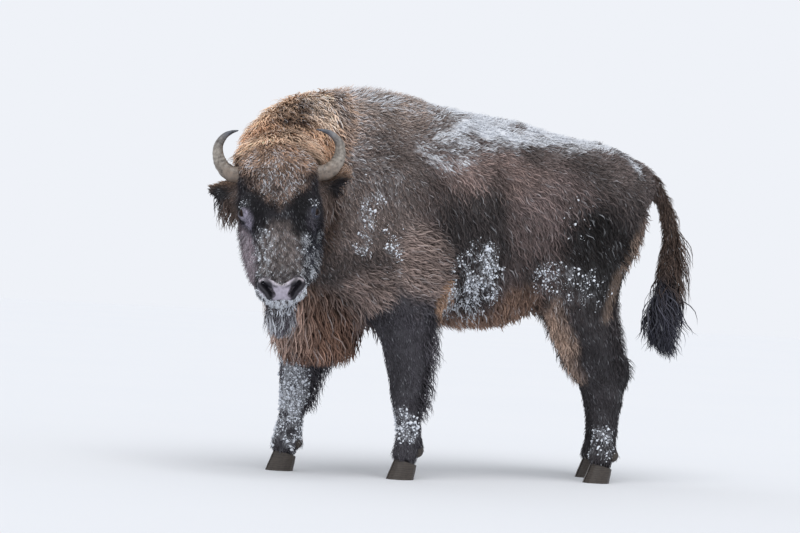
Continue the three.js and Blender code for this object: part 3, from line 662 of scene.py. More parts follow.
def markings(p, share):
    """Hair colour, frost and snow at points of the coat, from their places and their shares of the parts."""
    trunk, neck, mane, head, beard, ear, tail, tuft, foreleg, hindleg = (share[part] for part in PARTS)
    x, y, z = p.T
    flat = p * [1, 0, 1]
    drift, patches, speckle, fine = (waves(p, *field) for field in COAT_FIELDS)
    outer = rise(0.10, 0.18, np.abs(y - MIDLINE))
    left = rise(0.02, 0.10, MIDLINE - y)
    front = fall(-0.42, -0.10, x + 0.25 * (z - 1.1))
    thigh_back_highlight = fall(0.004, 0.040, distance_to(flat, THIGH_BACK_HIGHLIGHT, 1) + 0.02 * patches)
    stifle = fall(0.02, 0.085, distance_to(flat, STIFLE, 1) + 0.02 * patches)
    layers = [
        (RUMP, 0.7 * rise(0.35, 0.7, x)),
        # painted shade behind the shoulder's rear edge, plus dark patches of the coat at random
        (DARK_FLANK, 0.9 * side_spot(p, -0.02, 0.98, 0.20, 0.26, 0.3) + 0.5 * (patches < -0.2)),
        (SHOULDER, front * (0.85 + 0.35 * drift) + 0.35 * rise(1.05, 1.35, z)),
        (HUMP, rise(1.34, 1.54, z) * fall(-0.4, 0.1, x)),
        (DARK_FLANK, front * fall(0.80, 0.98, z) * trunk * (0.7 + 0.6 * patches)),
        (BELLY, (0.85 + 0.9 * patches) * fall(0.66, 0.75, z) * trunk * rise(-0.4, -0.1, x)),
        (BELLY, 0.75 * trunk * side_spot(p, 0.27, 0.74, 0.12, 0.09, 0.3)),
        (WARM, 0.85 * side_spot(p, 0.08, 1.27, 0.26, 0.085, 0.4) * (0.8 + 0.5 * patches)),
        (FLANK * 1.7, 0.7 * side_spot(p, 0.455, 1.21, 0.11, 0.10, 0.3)),
        (FLANK * 2.2, 0.7 * side_spot(p, 0.27, 1.09, 0.14, 0.13, 0.3)),
        (RUST, neck * fall(1.0, 1.25, z)),
        (GINGER, neck * rise(1.10, 1.28, z) * (0.9 + 0.25 * drift)),
        (BLOND, 0.8 * neck * rise(1.30, 1.48, z) * (0.5 + 0.6 * patches)),
        (CREAM, neck * blob(p, (-0.67, -0.03, 1.49), (0.09, 0.14, 0.09), 0.3)),
        (SHOULDER, neck * rise(-0.645, -0.575, x + 0.03 * patches) * rise(1.0, 1.2, z)),
        (CURL, 0.9 * neck * blob(p, (-0.79, -0.02, 1.48), (0.11, 0.10, 0.09), 0.4) * (0.8 + 0.8 * speckle)),
        (MANE, mane),
        (PALE_MANE, mane * blob(p, (-0.78, 0.10, 0.66), (0.14, 0.20, 0.14))),
        (MANE_TIP, mane * fall(0.47, 0.62, z + 0.06 * patches) * 0.8),
        (CHIN, beard),
        (LEG, foreleg * fall(0.70, 0.84, z + 0.05 * patches + 0.03 * speckle)),
        (ELBOW, outer * side_spot(p, -0.26, 0.89, 0.125, 0.13)),
        (ELBOW, outer * side_spot(p, -0.484, 0.755, 0.085, 0.085)),
        (GINGER, 0.6 * outer * side_spot(p, -0.12, 0.75, 0.065, 0.085, 0.2)),
        (HIND_LEG, hindleg * fall(0.55, 0.95, z)),
        (DARK_FLANK * 0.22, 0.95 * outer * side_spot(p, 0.62, 0.96, 0.20, 0.22)),
        # painted highlight along the thigh's rear edge
        (TAN * 0.6, 0.55 * (hindleg + trunk) * thigh_back_highlight),
        (TAN, 0.85 * hindleg * stifle),
        (TAIL, tail),
        (TUFT, tuft)]

    h = to_head(p)
    cap, _ = on_head(p)
    along, out = h[:, 0], h[:, 2]
    across = np.abs(h[:, 1])
    bridge = rise(0.255, 0.30, along) * fall(0.06, 0.10, across)
    middle = fall(0.05, 0.15, across - 0.07 * fall(0.0, 0.09, along))
    poll = fall(-0.10, -0.03, along - 0.5 * np.maximum(across - 0.06, 0))
    inside_ear = rise(-0.12, -0.08, out) * np.maximum(
        blob(h * [1, 1, 0], (0.108, -0.228, 0), (0.034, 0.042, 1), 0.5),
        blob(h * [1, 1, 0], (0.090, 0.238, 0), (0.042, 0.052, 1), 0.5))
    layers += [
        (FACE, head),
        (CHEEK, head * blob(np.abs(h) * [1, 1, 0], (0.34, 0.130, 0), (0.12, 0.035, 1))),
        (BRIDGE, head * bridge * (0.78 + 0.55 * fine) * (1 - 0.6 * rise(0.45, 0.49, along))),
        (FOREHEAD, head * cap * middle * (0.85 + 0.4 * speckle + 0.45 * fine)),
        (GINGER, 0.45 * head * cap * middle * fall(0.0, 0.12, along)),
        (STRAW, head * poll * rise(-0.1, 0.0, out) * (0.9 + 0.2 * patches))]
    for centre, _, inner, _ in eye_frames.values():
        side = np.sign(centre[1])
        ring = blob(h, centre + [0.02, -0.045 * side, 0.02], (0.10, 0.05, 0.06))
        lid = blob(h, centre + inner * 0.046, (0.050, 0.022, 0.032), 0.5)
        # pale lavender is laid on the right eye's inner corner far more than on the left's, which is kept in
        # painted shade
        layers += [(EYE_RING, 0.95 * head * ring), (LID, (0.75 if side < 0 else 0.16) * head * lid)]
    layers += [
        (CHEEK_EDGE, 0.8 * head * blob(h, *FAR_CHEEK)),
        (CHIN, head * fall(-0.07, -0.045, out) * rise(0.46, 0.52, along)),
        (EAR, ear),
        (EAR_EDGE, ear * fall(0.055, 0.085, along)),
        (EAR_INSIDE, ear * inside_ear)]
    colour = np.tile(FLANK, (len(p), 1))
    for new, amount in layers:
        colour = lay_on(colour, new, amount)
    colour = colour * (1 + 0.20 * drift + 0.16 * patches + 0.12 * speckle)[:, None]

    wide = 0.20 - 0.04 * rise(0.10, 0.40, x)
    ridge = fall(wide - 0.06, wide + 0.05, np.abs(y - MIDLINE) + 0.02 * patches)
    back = ridge * rise(-0.30, 0.06, x) * fall(0.80, 0.94, x) * rise(1.16, 1.30, z)
    rust = blob(p, (0.31, -0.10, 1.37), (0.08, 0.08, 0.07), 0.3)
    grey = rise(0.98, 1.2, z) * (trunk + 0.3 * neck)
    lip = to_either(h, LIP_FROST)
    clumps = np.clip(0.25 + 1.6 * waves(p, 0.022, 9), 0, 1)
    jaw_edge = head * fall(0.007, 0.018, distance_to(h, JAW_EDGE, 1))
    muzzle = head + beard
    frost = np.maximum.reduce([
        back * (1.22 - 0.36 * rise(0.45, 0.7, x) + 0.25 * speckle + 0.35 * fine) * (1 - 0.75 * rust),
        (0.30 + 0.10 * patches) * front * grey,
        (0.55 + 0.45 * fine) * left * blob(p, (-0.13, -0.13, 1.39), (0.16, 0.13, 0.14), 0.4),
        0.14 * outer * side_spot(p, 0.50, 1.14, 0.13, 0.12, 0.5),
        0.20 * left * outer * side_spot(p, 0.48, 0.81, 0.15, 0.12, 0.7),
        0.56 * (1 - 0.5 * neck) * rise(1.42, 1.55, z),
        0.30 * neck * blob(p, (-0.66, -0.02, 1.50), (0.12, 0.16, 0.14), 0.3),
        0.20 * neck * rise(1.2, 1.4, z),
        head * 0.38 * cap * middle * rise(-0.10, 0.02, along),
        head * (0.20 + 0.22 * fine) * rise(0.26, 0.31, along),
        (1.15 + 1.5 * fine) * muzzle * fall(0.030, 0.044, lip) * (1 - 0.70 * rise(0.05, 0.09, -h[:, 1])),
        0.30 * head * blob(h, *FAR_CHEEK),
        (0.35 + 0.6 * clumps) * jaw_edge,
        0.45 * beard]).clip(0.10)
    flecks = sum([
        0.5 * clumps * jaw_edge,
        0.80 * clumps * head * blob(h * [1, 1, 0], (0.39, -0.060, 0), (0.10, 0.034, 1), 0.5),
        0.70 * clumps * head * blob(h * [1, 1, 0], (0.41, 0.098, 0), (0.11, 0.034, 1), 0.5),
        (0.9 + 0.8 * fine) * fall(0.020, 0.032, lip) * muzzle,
        1.4 * clumps * muzzle * blob(h, (0.61, 0.0, -0.085), (0.07, 0.08, 0.05)),
        *(0.12 * head * blob(h, centre + [-0.035, 0, 0.01], (0.022, 0.03, 0.03))
          for centre, *_ in eye_frames.values())])
    return np.clip(colour, 0, 1), frost * (1 + 0.4 * speckle), np.maximum(snow_cover(p), flecks)


LEFT_SNOW = ((0.98, 0.02, 0.81, 0.105, 0.15, 0.45), (0.60, 0.39, 0.880, 0.075, 0.036, 0.7),
             (0.10, 0.49, 0.82, 0.15, 0.08, 0.8), (0.025, 0.52, 1.10, 0.14, 0.12, 0.8),
             (0.03, -0.45, 1.02, 0.13, 0.20, 0.6), (0.36, -0.471, 1.137, 0.045, 0.020, 0.5),
             (0.36, -0.506, 1.040, 0.028, 0.070, 0.5), (0.36, -0.515, 0.930, 0.035, 0.030, 0.5),
             (0.36, -0.387, 0.934, 0.030, 0.045, 0.5))  # how much, X, Z, half width and height, softness
LEG_SNOW = ((0.75, (-0.61, 0.26, 0.32), (0.08, 0.09, 0.14)), (0.40, (-0.60, 0.28, 0.18), (0.09, 0.10, 0.10)),
            (0.50, (-0.25, -0.08, 0.22), (0.06, 0.08, 0.07)), (0.22, (0.74, -0.05, 0.17), (0.06, 0.08, 0.07)))


def snow_cover(p):
    """How thickly snow lies caught in the hair, 0 to 1."""
    left = rise(0.02, 0.10, MIDLINE - p[:, 1])
    broken = 0.55 + 0.75 * waves(p, 0.035, 5) + 0.45 * waves(p, 0.014, 6)
    spots = [amount * side_spot(p, *spot) * left for amount, *spot in LEFT_SNOW]
    spots += [amount * blob(p, centre, radii, 0.5) for amount, centre, radii in LEG_SNOW]
    return np.clip(np.maximum.reduce(spots) * broken * 1.6, 0, 1)


def from_eyes(h):
    """Distance from points of the head's frame to the middle of the nearer eye."""
    return np.minimum.reduce([np.linalg.norm(h - centre, axis=1) for centre, *_ in eye_frames.values()])

# %% [markdown]
# The skin takes the markings, darker under the hair than on bare skin. The nose and the pale rim over the
# nostrils are painted on top, and so is painted shade: in the nostrils and round them, behind the nose ridge,
# in the creases of the lids, and over the left eye's lids.

# %% Paint the skin
def paint(mesh, name, values, kind="FLOAT"):
    """Stores a number or a colour at each point of a mesh."""
    made = mesh.attributes.new(name, kind, "POINT")
    if kind == "FLOAT_COLOR":
        values = np.column_stack([values, np.ones(len(values))])
    field = "color" if kind == "FLOAT_COLOR" else "value"
    made.data.foreach_set(field, np.asarray(values, np.float32).ravel())


p = places(skin.data)
h = to_head(p)
colour, frost, snow = markings(p, SHARE)
_, bare = on_head(p)
bare *= SHARE["head"]
across, out = np.abs(h[:, 1]), h[:, 2]
hole, ridge = to_either(h, NOSTRIL), to_either(h, NOSE_RIDGE)
shade_behind_ridge = to_either(h + [-0.011, 0, 0.003], NOSE_RIDGE)  # behind the ridge
wings = SHARE["head"] * fall(0.026, 0.034, hole) * rise(-0.036, -0.028, out)
at_eye = from_eyes(h)
lids_bare = fall(EYE_RADIUS * 1.15, EYE_RADIUS * 1.40, at_eye)
bare = np.maximum.reduce([bare, wings, lids_bare])
under = colour * (0.58 + 0.42 * bare)[:, None]
nose = bare * (at_eye > 0.1)
# painted shade: the nostril holes are painted near black, most of all at the round hole
nostril_shade = fall(0.72, 1.20, hole / NOSTRIL_WIDTH) * (0.55 + 0.45 * rise(0.525, 0.550, h[:, 0]))
for new, amount in (
        (NOSE, nose),
        # painted shade round the nostril openings, on their outer side
        (NOSE_SHADE, nose * rise(0.026, 0.040, across) * fall(0.026, 0.036, hole)),
        # painted shade in a line just behind the nose ridge
        (NOSE_SHADE, 0.9 * bell(shade_behind_ridge, 0.0045) * nose * rise(0.006, 0.02, across)),
        (RIM, 0.9 * bell(ridge, 0.0055) * rise(-0.005, 0.01, out) * SHARE["head"]),
        (NOSTRIL_SHADE, nostril_shade),
        # the left eye's bare lids in painted shade, the right eye's in the lit pale lavender
        (np.where(h[:, 1:2] > 0, LEFT_LID_SHADED, LID), lids_bare * 0.85)):
    under = lay_on(under, new, amount)
under *= (1 + 0.3 * lids_bare * waves(p, 0.012, 41))[:, None]
# painted shade: the skin is darkened along the creases of the lids and round the edge of their opening
for centre, _, inner, lift in eye_frames.values():
    along_eye, up_eye = (h - centre) @ inner, (h - centre) @ lift
    ring = np.hypot(along_eye / EYE_LENGTH, (up_eye + 0.002) / EYE_HEIGHT) / EYE_RADIUS
    folds = sum(bell(ring - at, 0.07) for at in (1.30, 1.72, 2.1)) * rise(-0.010, 0.006, up_eye)
    folds += bell(ring - 1.5, 0.08) * rise(-0.002, 0.008, -up_eye)
    folds += fall(1.02, 1.14, ring)
    under *= (1 - 0.55 * np.clip(folds, 0, 1) * (at_eye < EYE_RADIUS * 1.6))[:, None]
paint(skin.data, "hair colour", under, "FLOAT_COLOR")
paint(skin.data, "frost", np.maximum(np.clip(frost * (0.15 + 0.6 * frost), 0, 0.9), snow * 0.6) * (1 - bare))
paint(skin.data, "bare", bare * rise(0.8, 1.2, hole / NOSTRIL_WIDTH))
BARE = bare

# %% [markdown]
# ## One look for skin and hair
# Hide and hair read the colour and frost stored in their own mesh, and add fine variation from noise. Hair
# is dark at the root, where it stands in its neighbours' shade, and lighter at the tip, where the frost
# settles.

# %% Materials
def material(name, **sockets):
    """A material with one Principled shader, whose sockets are set by name."""
    made = bpy.data.materials.new(name)
    made.use_nodes = True
    shader = made.node_tree.nodes["Principled BSDF"]
    for socket, value in sockets.items():
        shader.inputs[socket.replace("_", " ")].default_value = value
    return made, made.node_tree, shader


def node(tree, kind, inputs=None, **settings):
    """A node with its settings, its inputs linked or set."""
    made = tree.nodes.new(kind)
    for name, value in settings.items():
        setattr(made, name, value)
    for socket, value in (inputs or {}).items():
        if isinstance(value, bpy.types.NodeSocket):
            tree.links.new(value, made.inputs[socket])
        else:
            made.inputs[socket].default_value = value
    return made


def stored(tree, name):
    """A value stored in the mesh: its colour and its number."""
    made = node(tree, "ShaderNodeAttribute", attribute_name=name)
    return made.outputs["Color"], made.outputs["Fac"]


def mixed(tree, amount, a, b, way="MIX"):
    """Two colours mixed by an amount, or blended in another way."""
    made = tree.nodes.new("ShaderNodeMix")
    made.data_type, made.blend_type = "RGBA", way
    for index, value in ((0, amount), (6, a), (7, b)):
        if isinstance(value, bpy.types.NodeSocket):
            tree.links.new(value, made.inputs[index])
        else:
            made.inputs[index].default_value = value if index == 0 else (*value, 1)
    return made.outputs[2]


def sums(tree, operation, a, b):
    """One operation on two numbers."""
    return node(tree, "ShaderNodeMath", {0: a, 1: b}, operation=operation).outputs[0]


def spread(tree, value, low, high, to_low, to_high):
    """A number moved from one range to another, and held inside it."""
    inputs = {"Value": value, "From Min": low, "From Max": high, "To Min": to_low, "To Max": to_high}
    return node(tree, "ShaderNodeMapRange", inputs).outputs["Result"]


def in_object(tree):
    return node(tree, "ShaderNodeTexCoord").outputs["Object"]


def noise(tree, scale, detail=3.0):
    inputs = {"Vector": in_object(tree), "Scale": scale, "Detail": detail}
    return node(tree, "ShaderNodeTexNoise", inputs).outputs["Fac"]


def bumps(tree, shader, height, strength, distance):
    """Tilts the light where `height` changes."""
    bump = node(tree, "ShaderNodeBump", {"Height": height, "Strength": strength, "Distance": distance})
    tree.links.new(bump.outputs["Normal"], shader.inputs["Normal"])


def coat_look(name, skin_under=False):
    """The look shared by the hide and the locks of hair."""
    made, tree, shader = material(name, Roughness=0.78, Specular_IOR_Level=0.28)
    colour, _ = stored(tree, "hair colour")
    _, frost = stored(tree, "frost")
    fine = spread(tree, noise(tree, 95.0), 0.3, 0.7, 0.80, 1.18)
    if skin_under:
        light = fine
    else:
        _, along = stored(tree, "along")
        # painted shade: the hair's colour is darkened towards the root, where it stands in its neighbours'
        # shade
        light = sums(tree, "MULTIPLY", fine, spread(tree, along, 0.0, 1.0, 0.56, 1.45))
    grey = node(tree, "ShaderNodeCombineColor", {"Red": light, "Green": light, "Blue": light})
    colour = mixed(tree, 1.0, colour, grey.outputs["Color"], "MULTIPLY")
    colour = mixed(tree, frost, colour, FROST)
    tree.links.new(colour, shader.inputs["Base Color"])
    return made, tree, shader


hair_material, _, _ = coat_look("hair")
hide_material, tree, shader = coat_look("hide", skin_under=True)
_, bare_here = stored(tree, "bare")
tree.links.new(spread(tree, bare_here, 0, 1, 0.85, 0.42), shader.inputs["Roughness"])
pebbles = node(tree, "ShaderNodeTexVoronoi", {"Vector": in_object(tree), "Scale": 420.0},
               feature="SMOOTH_F1").outputs["Distance"]
hairs = sums(tree, "MULTIPLY", noise(tree, 260.0, 5.0), spread(tree, bare_here, 0, 1, 1.0, 0.12))
pores = sums(tree, "MULTIPLY", pebbles, sums(tree, "MULTIPLY", bare_here, 0.35))
bumps(tree, shader, sums(tree, "ADD", hairs, pores), 0.7, 0.0025)

skin.data.materials.clear()
skin.data.materials.append(hide_material)
only(skin)
bpy.ops.object.shade_smooth()
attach(skin, "root")
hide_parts(*FLESH)

# %% [markdown]
# ## Eyes
# Each eye is a ball with a slightly raised cornea, a brown iris and the wide, level pupil of a grazing
# animal. The measures of iris and pupil are stored in its points, so the pattern turns with the eye.

# %% Eyeballs
IRIS, PUPIL_LENGTH, PUPIL_HEIGHT = 0.80, 0.46, 0.26  # shares of the eyeball's radius
CORNEA_RISE, CORNEA_WIDTH = 0.0016, 0.55
NOT_PUPIL = 9  # stored all over the back of the ball

eye_material, tree, shader = material("eye", Roughness=0.06, Specular_IOR_Level=0.12)
_, iris = stored(tree, "iris")
_, pupil = stored(tree, "pupil")
fibres = spread(tree, noise(tree, 500.0, 1.0), 0.2, 0.8, 0.0, 1.0)
brown = mixed(tree, fibres, shade(26, 18, 15), shade(42, 29, 22))
colour = mixed(tree, spread(tree, iris, IRIS - 0.10, IRIS, 0, 1), brown, shade(14, 10, 9))
colour = mixed(tree, spread(tree, iris, IRIS + 0.10, IRIS + 0.2, 0, 1), colour, shade(34, 28, 28))
colour = mixed(tree, spread(tree, pupil, 0.9, 1.1, 1, 0), colour, shade(6, 5, 8))
tree.links.new(colour, shader.inputs["Base Color"])

for name, (centre, gaze, inner, lift) in eye_frames.items():
    ball = add_mesh(bpy.ops.mesh.primitive_uv_sphere_add, f"eyeball_{name}", segments=48, ring_count=32,
                    radius=EYE_RADIUS)
    local = places(ball.data)
    outward = local / EYE_RADIUS
    reach = np.linalg.norm(outward[:, :2], axis=1)
    facing = outward[:, 2] > 0
    paint(ball.data, "iris", np.where(facing, reach, 1.0))
    level = np.hypot(outward[:, 0] / PUPIL_LENGTH, outward[:, 1] / PUPIL_HEIGHT)
    paint(ball.data, "pupil", np.where(facing, level, NOT_PUPIL))
    local += outward * (CORNEA_RISE * np.exp(-((reach / CORNEA_WIDTH) ** 4)) * facing)[:, None]
    put_places(ball.data, oriented(centre, (inner, lift, gaze), local))
    finish_surface(ball)
    ball.data.materials.append(eye_material)
    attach(ball, "root")
    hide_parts(f"eye_{name}")

# %% [markdown]
# A thin rim of bare, wet skin edges the lids. It is a ring bent to the lids' edge.

# %% Lid rims
LID_THICKNESS = 0.0017
lid_material, tree, shader = material("lid rim", Roughness=0.35, Specular_IOR_Level=0.5)
rim_colour = mixed(tree, noise(tree, 240.0), shade(28, 25, 29), shade(60, 54, 60))
tree.links.new(rim_colour, shader.inputs["Base Color"])

for name, (centre, gaze, inner, lift) in eye_frames.items():
    rim = add_mesh(bpy.ops.mesh.primitive_torus_add, f"lid_rim_{name}", major_segments=56, minor_segments=8,
                   major_radius=1, minor_radius=LID_THICKNESS)
    ring = places(rim.data)
    around = np.hypot(ring[:, 0], ring[:, 1]) - 1
    a, b, c = lid_edge(np.arctan2(ring[:, 1], ring[:, 0]))
    sideways = unit(np.stack([a, b, 0 * a], 1))
    local = np.stack([a, b, c], 1) * (EYE_RADIUS + LID_GAP + ring[:, 2])[:, None] + sideways * around[:, None]
    put_places(rim.data, oriented(centre, (inner, lift, gaze), local))
    finish_surface(rim)
    rim.data.materials.append(lid_material)
    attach(rim, "root")

# %% [markdown]
# ## Horns
# A horn is a curve with thickness: the points of its centre line each get a radius, and the growth rings
# near the base are ripples in that radius. The curve is then turned into a mesh.

# %% Horns
# X, Y, Z in the head's frame and the radius, in mm
HORN_LINE = [(42, 122, -22, 40), (38, 190, -16, 37), (9, 230, -4, 32), (-30, 247, 10, 26.5),
             (-68, 244, 24, 21), (-99, 219, 36, 15), (-113, 188, 44, 9), (-118, 154, 50, 2.5)]
HORN_STEPS = 120
HORN_SLIMNESS = 0.86
HORN_DRAWN_IN = {"left": 0.0, "right": 0.12}  # the right horn grows a little nearer the head


def smooth_line(knots, steps):
    """A Catmull-Rom line through rows of numbers."""
    knots = np.array(knots, float)
    padded = np.vstack([2 * knots[0] - knots[1], knots, 2 * knots[-1] - knots[-2]])
    at = np.linspace(0, len(knots) - 1, steps)
    i = np.minimum(at.astype(int), len(knots) - 2)
    t = (at - i)[:, None]
    a, b, c, d = (padded[i + k] for k in range(4))
    return 0.5 * (2 * b + (c - a) * t + (2 * a - 5 * b + 4 * c - d) * t**2 + (3 * b - a - 3 * c + d) * t**3)


horn_material, tree, shader = material("horn", Roughness=0.38, Specular_IOR_Level=0.5)
_, up_horn = stored(tree, "up the horn")
_, horn_lit_side = stored(tree, "lit side of the horn")
streaks = sums(tree, "MULTIPLY", sums(tree, "ADD", noise(tree, 26.0, 6.0), noise(tree, 90.0, 4.0)), 0.5)
streaks = spread(tree, streaks, 0.36, 0.64, 0, 1)
base = mixed(tree, streaks, shade(82, 74, 68), shade(166, 158, 149))
tip = mixed(tree, streaks, shade(36, 36, 42), shade(92, 96, 106))
colour = mixed(tree, spread(tree, up_horn, 0.50, 0.80, 0, 1), base, tip)
colour = mixed(tree, sums(tree, "MULTIPLY", spread(tree, up_horn, 0.18, 0.36, 0.7, 0), streaks), colour,
               shade(128, 104, 86))
# painted shade: the horn is darkened on its side towards the head and away from the forehead
colour = mixed(tree, spread(tree, horn_lit_side, 0.0, 1.0, 0.35, 0.0), colour, shade(40, 36, 36))
tree.links.new(colour, shader.inputs["Base Color"])
bumps(tree, shader, noise(tree, 160.0, 6.0), 0.5, 0.001)

for name, side in (("left", 1), ("right", -1)):
    line = smooth_line(HORN_LINE, HORN_STEPS)
    along = np.linspace(0, 1, HORN_STEPS)
    # growth rings in mm, unevenly spaced, which fade towards the tip
    rings = 0.9 * np.sin(along * 95 + 2 * np.sin(along * 17)) + 0.5 * np.sin(along * 41)
    rings *= fall(0.2, 0.6, along)
    line[:, 1] -= HORN_DRAWN_IN[name] * np.clip(line[:, 1] - HORN_LINE[0][1], 0, None)
    radii = (line[:, 3] * HORN_SLIMNESS + rings) / 1000
    radii[-3:] *= [0.9, 0.65, 0.25]
    centre_line = np.array([in_head(*(q[:3] * [1, side, 1] / 1000)) for q in line])
    curve = bpy.data.curves.new(f"horn_{name}_line", "CURVE")
    curve.dimensions, curve.bevel_depth, curve.bevel_resolution, curve.use_fill_caps = "3D", 1.0, 7, True
    spline = curve.splines.new("POLY")
    spline.points.add(HORN_STEPS - 1)
    spline.points.foreach_set("co", np.column_stack([centre_line, np.ones(HORN_STEPS)]).ravel())
    spline.points.foreach_set("radius", radii)
    only(new_object(f"ringed_horn_{name}", curve))
    bpy.ops.object.convert(target="MESH")
    horn = bpy.context.object
    finish_surface(horn, weld=0.0001)
    at = places(horn.data)
    nearest = np.linalg.norm(at[:, None] - centre_line[None], axis=2).argmin(1)
    paint(horn.data, "up the horn", along[nearest])
    # how far each point of the horn faces away from the head and out of the forehead, for its painted shade
    outer = unit(at - centre_line[nearest]) @ HEAD_AXES.T
    paint(horn.data, "lit side of the horn", np.clip(0.5 + 0.5 * (outer[:, 1] * side + outer[:, 2]), 0, 1))
    horn.data.materials.clear()
    horn.data.materials.append(horn_material)
    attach(horn, "root")
    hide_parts(f"horn_{name}")
    print(horn.name, len(horn.data.polygons), "faces")

# %% [markdown]
# ## Hooves
# Each claw of a foot keeps its solid's shape, with worn edges and low growth rings. Behind every fetlock
# hang two small dewclaws, half sunk in the hair.

# %% Claws and dewclaws
hoof_material, tree, shader = material("hoof", Roughness=0.5, Specular_IOR_Level=0.4)
inputs = {"Vector": in_object(tree), "Scale": 34.0, "Distortion": 5.0, "Detail": 3.0}
growth = node(tree, "ShaderNodeTexWave", inputs, bands_direction="Z").outputs["Fac"]
colour = mixed(tree, noise(tree, 60.0, 5.0), shade(34, 30, 29), shade(76, 68, 62))
colour = mixed(tree, sums(tree, "MULTIPLY", growth, 0.25), colour, shade(92, 84, 76))
tree.links.new(colour, shader.inputs["Base Color"])
bumps(tree, shader, growth, 0.4, 0.001)

LEGS = ["foreleg_left", "foreleg_right", "hindleg_left", "hindleg_right"]
# dewclaws: from the toe, from the middle of the foot, from the ground
DEWCLAW_BACK, DEWCLAW_APART, DEWCLAW_HEIGHT = 0.128, 0.027, 0.116
DEWCLAW_RADII, DEWCLAW_TILT = (0.019, 0.0135, 0.024), math.radians(24)
CLAW_EDGE, SHARP_ANGLE = 0.007, math.radians(40)
RING_HEIGHT, RING_WAVES = 0.0006, 700  # growth rings: metres, and radians of wave to a metre
for leg in LEGS:
    lows = []
    for place in ("inner", "outer"):
        solid_name = f"hoof_{leg}_{place}"
        low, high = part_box(solid_name)
        lows.append((low, high))
        claw = merged_copy(f"claw_{leg}_{place}", solid_name)
        apply_modifier(claw, "BEVEL", width=CLAW_EDGE, segments=3, limit_method="ANGLE",
                       angle_limit=SHARP_ANGLE)
        apply_modifier(claw, "SUBSURF", levels=2, render_levels=2, subdivision_type="SIMPLE")
        apply_modifier(claw, "SMOOTH", factor=0.4, iterations=3)
        at = places(claw.data)
        rings = RING_HEIGHT * np.sin(at[:, 2] * RING_WAVES) * rise(0.01, 0.03, at[:, 2])
        at += unit(normals(claw.data) * [1, 1, 0]) * rings[:, None]
        at[:, 2] -= at[:, 2].min()
        put_places(claw.data, at)
        only(claw)
        bpy.ops.object.shade_smooth_by_angle(angle=math.radians(45))
        claw.data.materials.append(hoof_material)
        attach(claw, "root")
        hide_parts(solid_name)
    toe = min(low.x for low, _ in lows)
    centre_y = (min(low.y for low, _ in lows) + max(high.y for _, high in lows)) / 2
    for place, side in (("a", -1), ("b", 1)):
        at = (toe + DEWCLAW_BACK, centre_y + side * DEWCLAW_APART, DEWCLAW_HEIGHT)
        dewclaw = add_mesh(bpy.ops.mesh.primitive_uv_sphere_add, f"dewclaw_{leg}_{place}", segments=20,
                           ring_count=12, radius=1, location=at, rotation=(0, DEWCLAW_TILT, 0),
                           scale=DEWCLAW_RADII)
        bpy.ops.object.transform_apply(location=True, rotation=True, scale=True)
        bpy.ops.object.shade_smooth()
        dewclaw.data.materials.append(hoof_material)
        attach(dewclaw, "root")

# %% [markdown]
# ## How the coat is made
# Each kind of hair is one mesh of many locks. A lock is a closed, tapering sliver with a three-sided
# section. It starts just under the skin, leans along the lie of the coat, and bends, waves and hangs on its
# way to the tip. The roots are scattered evenly over the part of the skin where that kind grows.
#
# Each lock also has a place on an unwrap of that part of the skin, so that a texture baked for the coat
# keeps the colour of the skin under it.

# %% The lie of the coat
SKIN_PLACES, SKIN_NORMALS = places(skin.data), normals(skin.data)
DOWN, BACKWARD = np.array([0.0, 0.0, -1.0]), np.array([1.0, 0.0, -0.35])
BRAID = 0.13  # how broad the swirls of the coat are


def turned(v, axis, angle):
    """Vectors turned about unit axes that are square to them."""
    return v * np.cos(angle)[:, None] + np.cross(axis, v) * np.sin(angle)[:, None]


def lie(p, n, share):
    """The way the hair lies at points of the skin, along the surface."""
    h = to_head(p)
    x, y, z = p.T
    nothing = 0 * x
    side = np.sign(y - MIDLINE)
    high = rise(1.15, 1.38, z)
    trunk = np.stack([0.30 + 0.25 * rise(0.2, 0.7, x) + 0.9 * high, nothing, -1.0 + 0.6 * high], 1)
    neck = np.stack([0.30 + nothing, 0.25 * side, -1.0 + nothing], 1)
    from_poll = np.stack([0.9 + nothing, 1.6 * h[:, 1], nothing], 1)
    crown = np.stack([0.22 + nothing, 5.5 * h[:, 1] + 0.25 * waves(p, 0.09, 24), 0.15 + nothing], 1)
    blend = fall(0.02, 0.10, h[:, 0])[:, None]
    head = (from_poll * (1 - blend) + crown * blend) @ HEAD_AXES
    below = rise(0.07, 0.12, h[:, 0])[:, None]
    ear_out = np.sign(h[:, 1])[:, None] * HEAD_AXES[1] * (0.9 - 0.65 * below) + DOWN * (1.3 * below - 0.3)
    rolls = side_spot(p, -0.26, 0.89, 0.16, 0.17, 0.2) + side_spot(p, -0.48, 0.77, 0.10, 0.11, 0.2)
    trunk = lay_on(trunk, BACKWARD, rolls)
    tail = np.stack([0.12 + 0.14 * share["tuft"], nothing, -1 + nothing], 1)
    leg = np.stack([0.22 + nothing, nothing, -1 + nothing], 1)
    leg = lay_on(leg, BACKWARD, rolls)
    parts = ((share["trunk"], trunk), (share["neck"], neck), (share["head"], head), (share["ear"], ear_out),
             (share["tail"] + share["tuft"], tail), (share["foreleg"] + share["hindleg"], leg),
             (share["mane"] + share["beard"], DOWN))
    flow = sum(amount[:, None] * way for amount, way in parts)
    flow = unit(flow - n * (flow * n).sum(1)[:, None] + 1e-5)
    swirl = 0.42 * waves(p, BRAID, 21) + 0.30 * waves(p, 0.035, 22)
    return turned(flow, n, swirl * (1 - 0.5 * share["head"]))

# %% [markdown]
# A patch is a copy of the skin cut down to where a kind of hair grows, and unwrapped. The roots of the
# locks are scattered over its triangles, and each root keeps its weights on the three corners, so that
# anything known at the skin's points can be read at the roots.

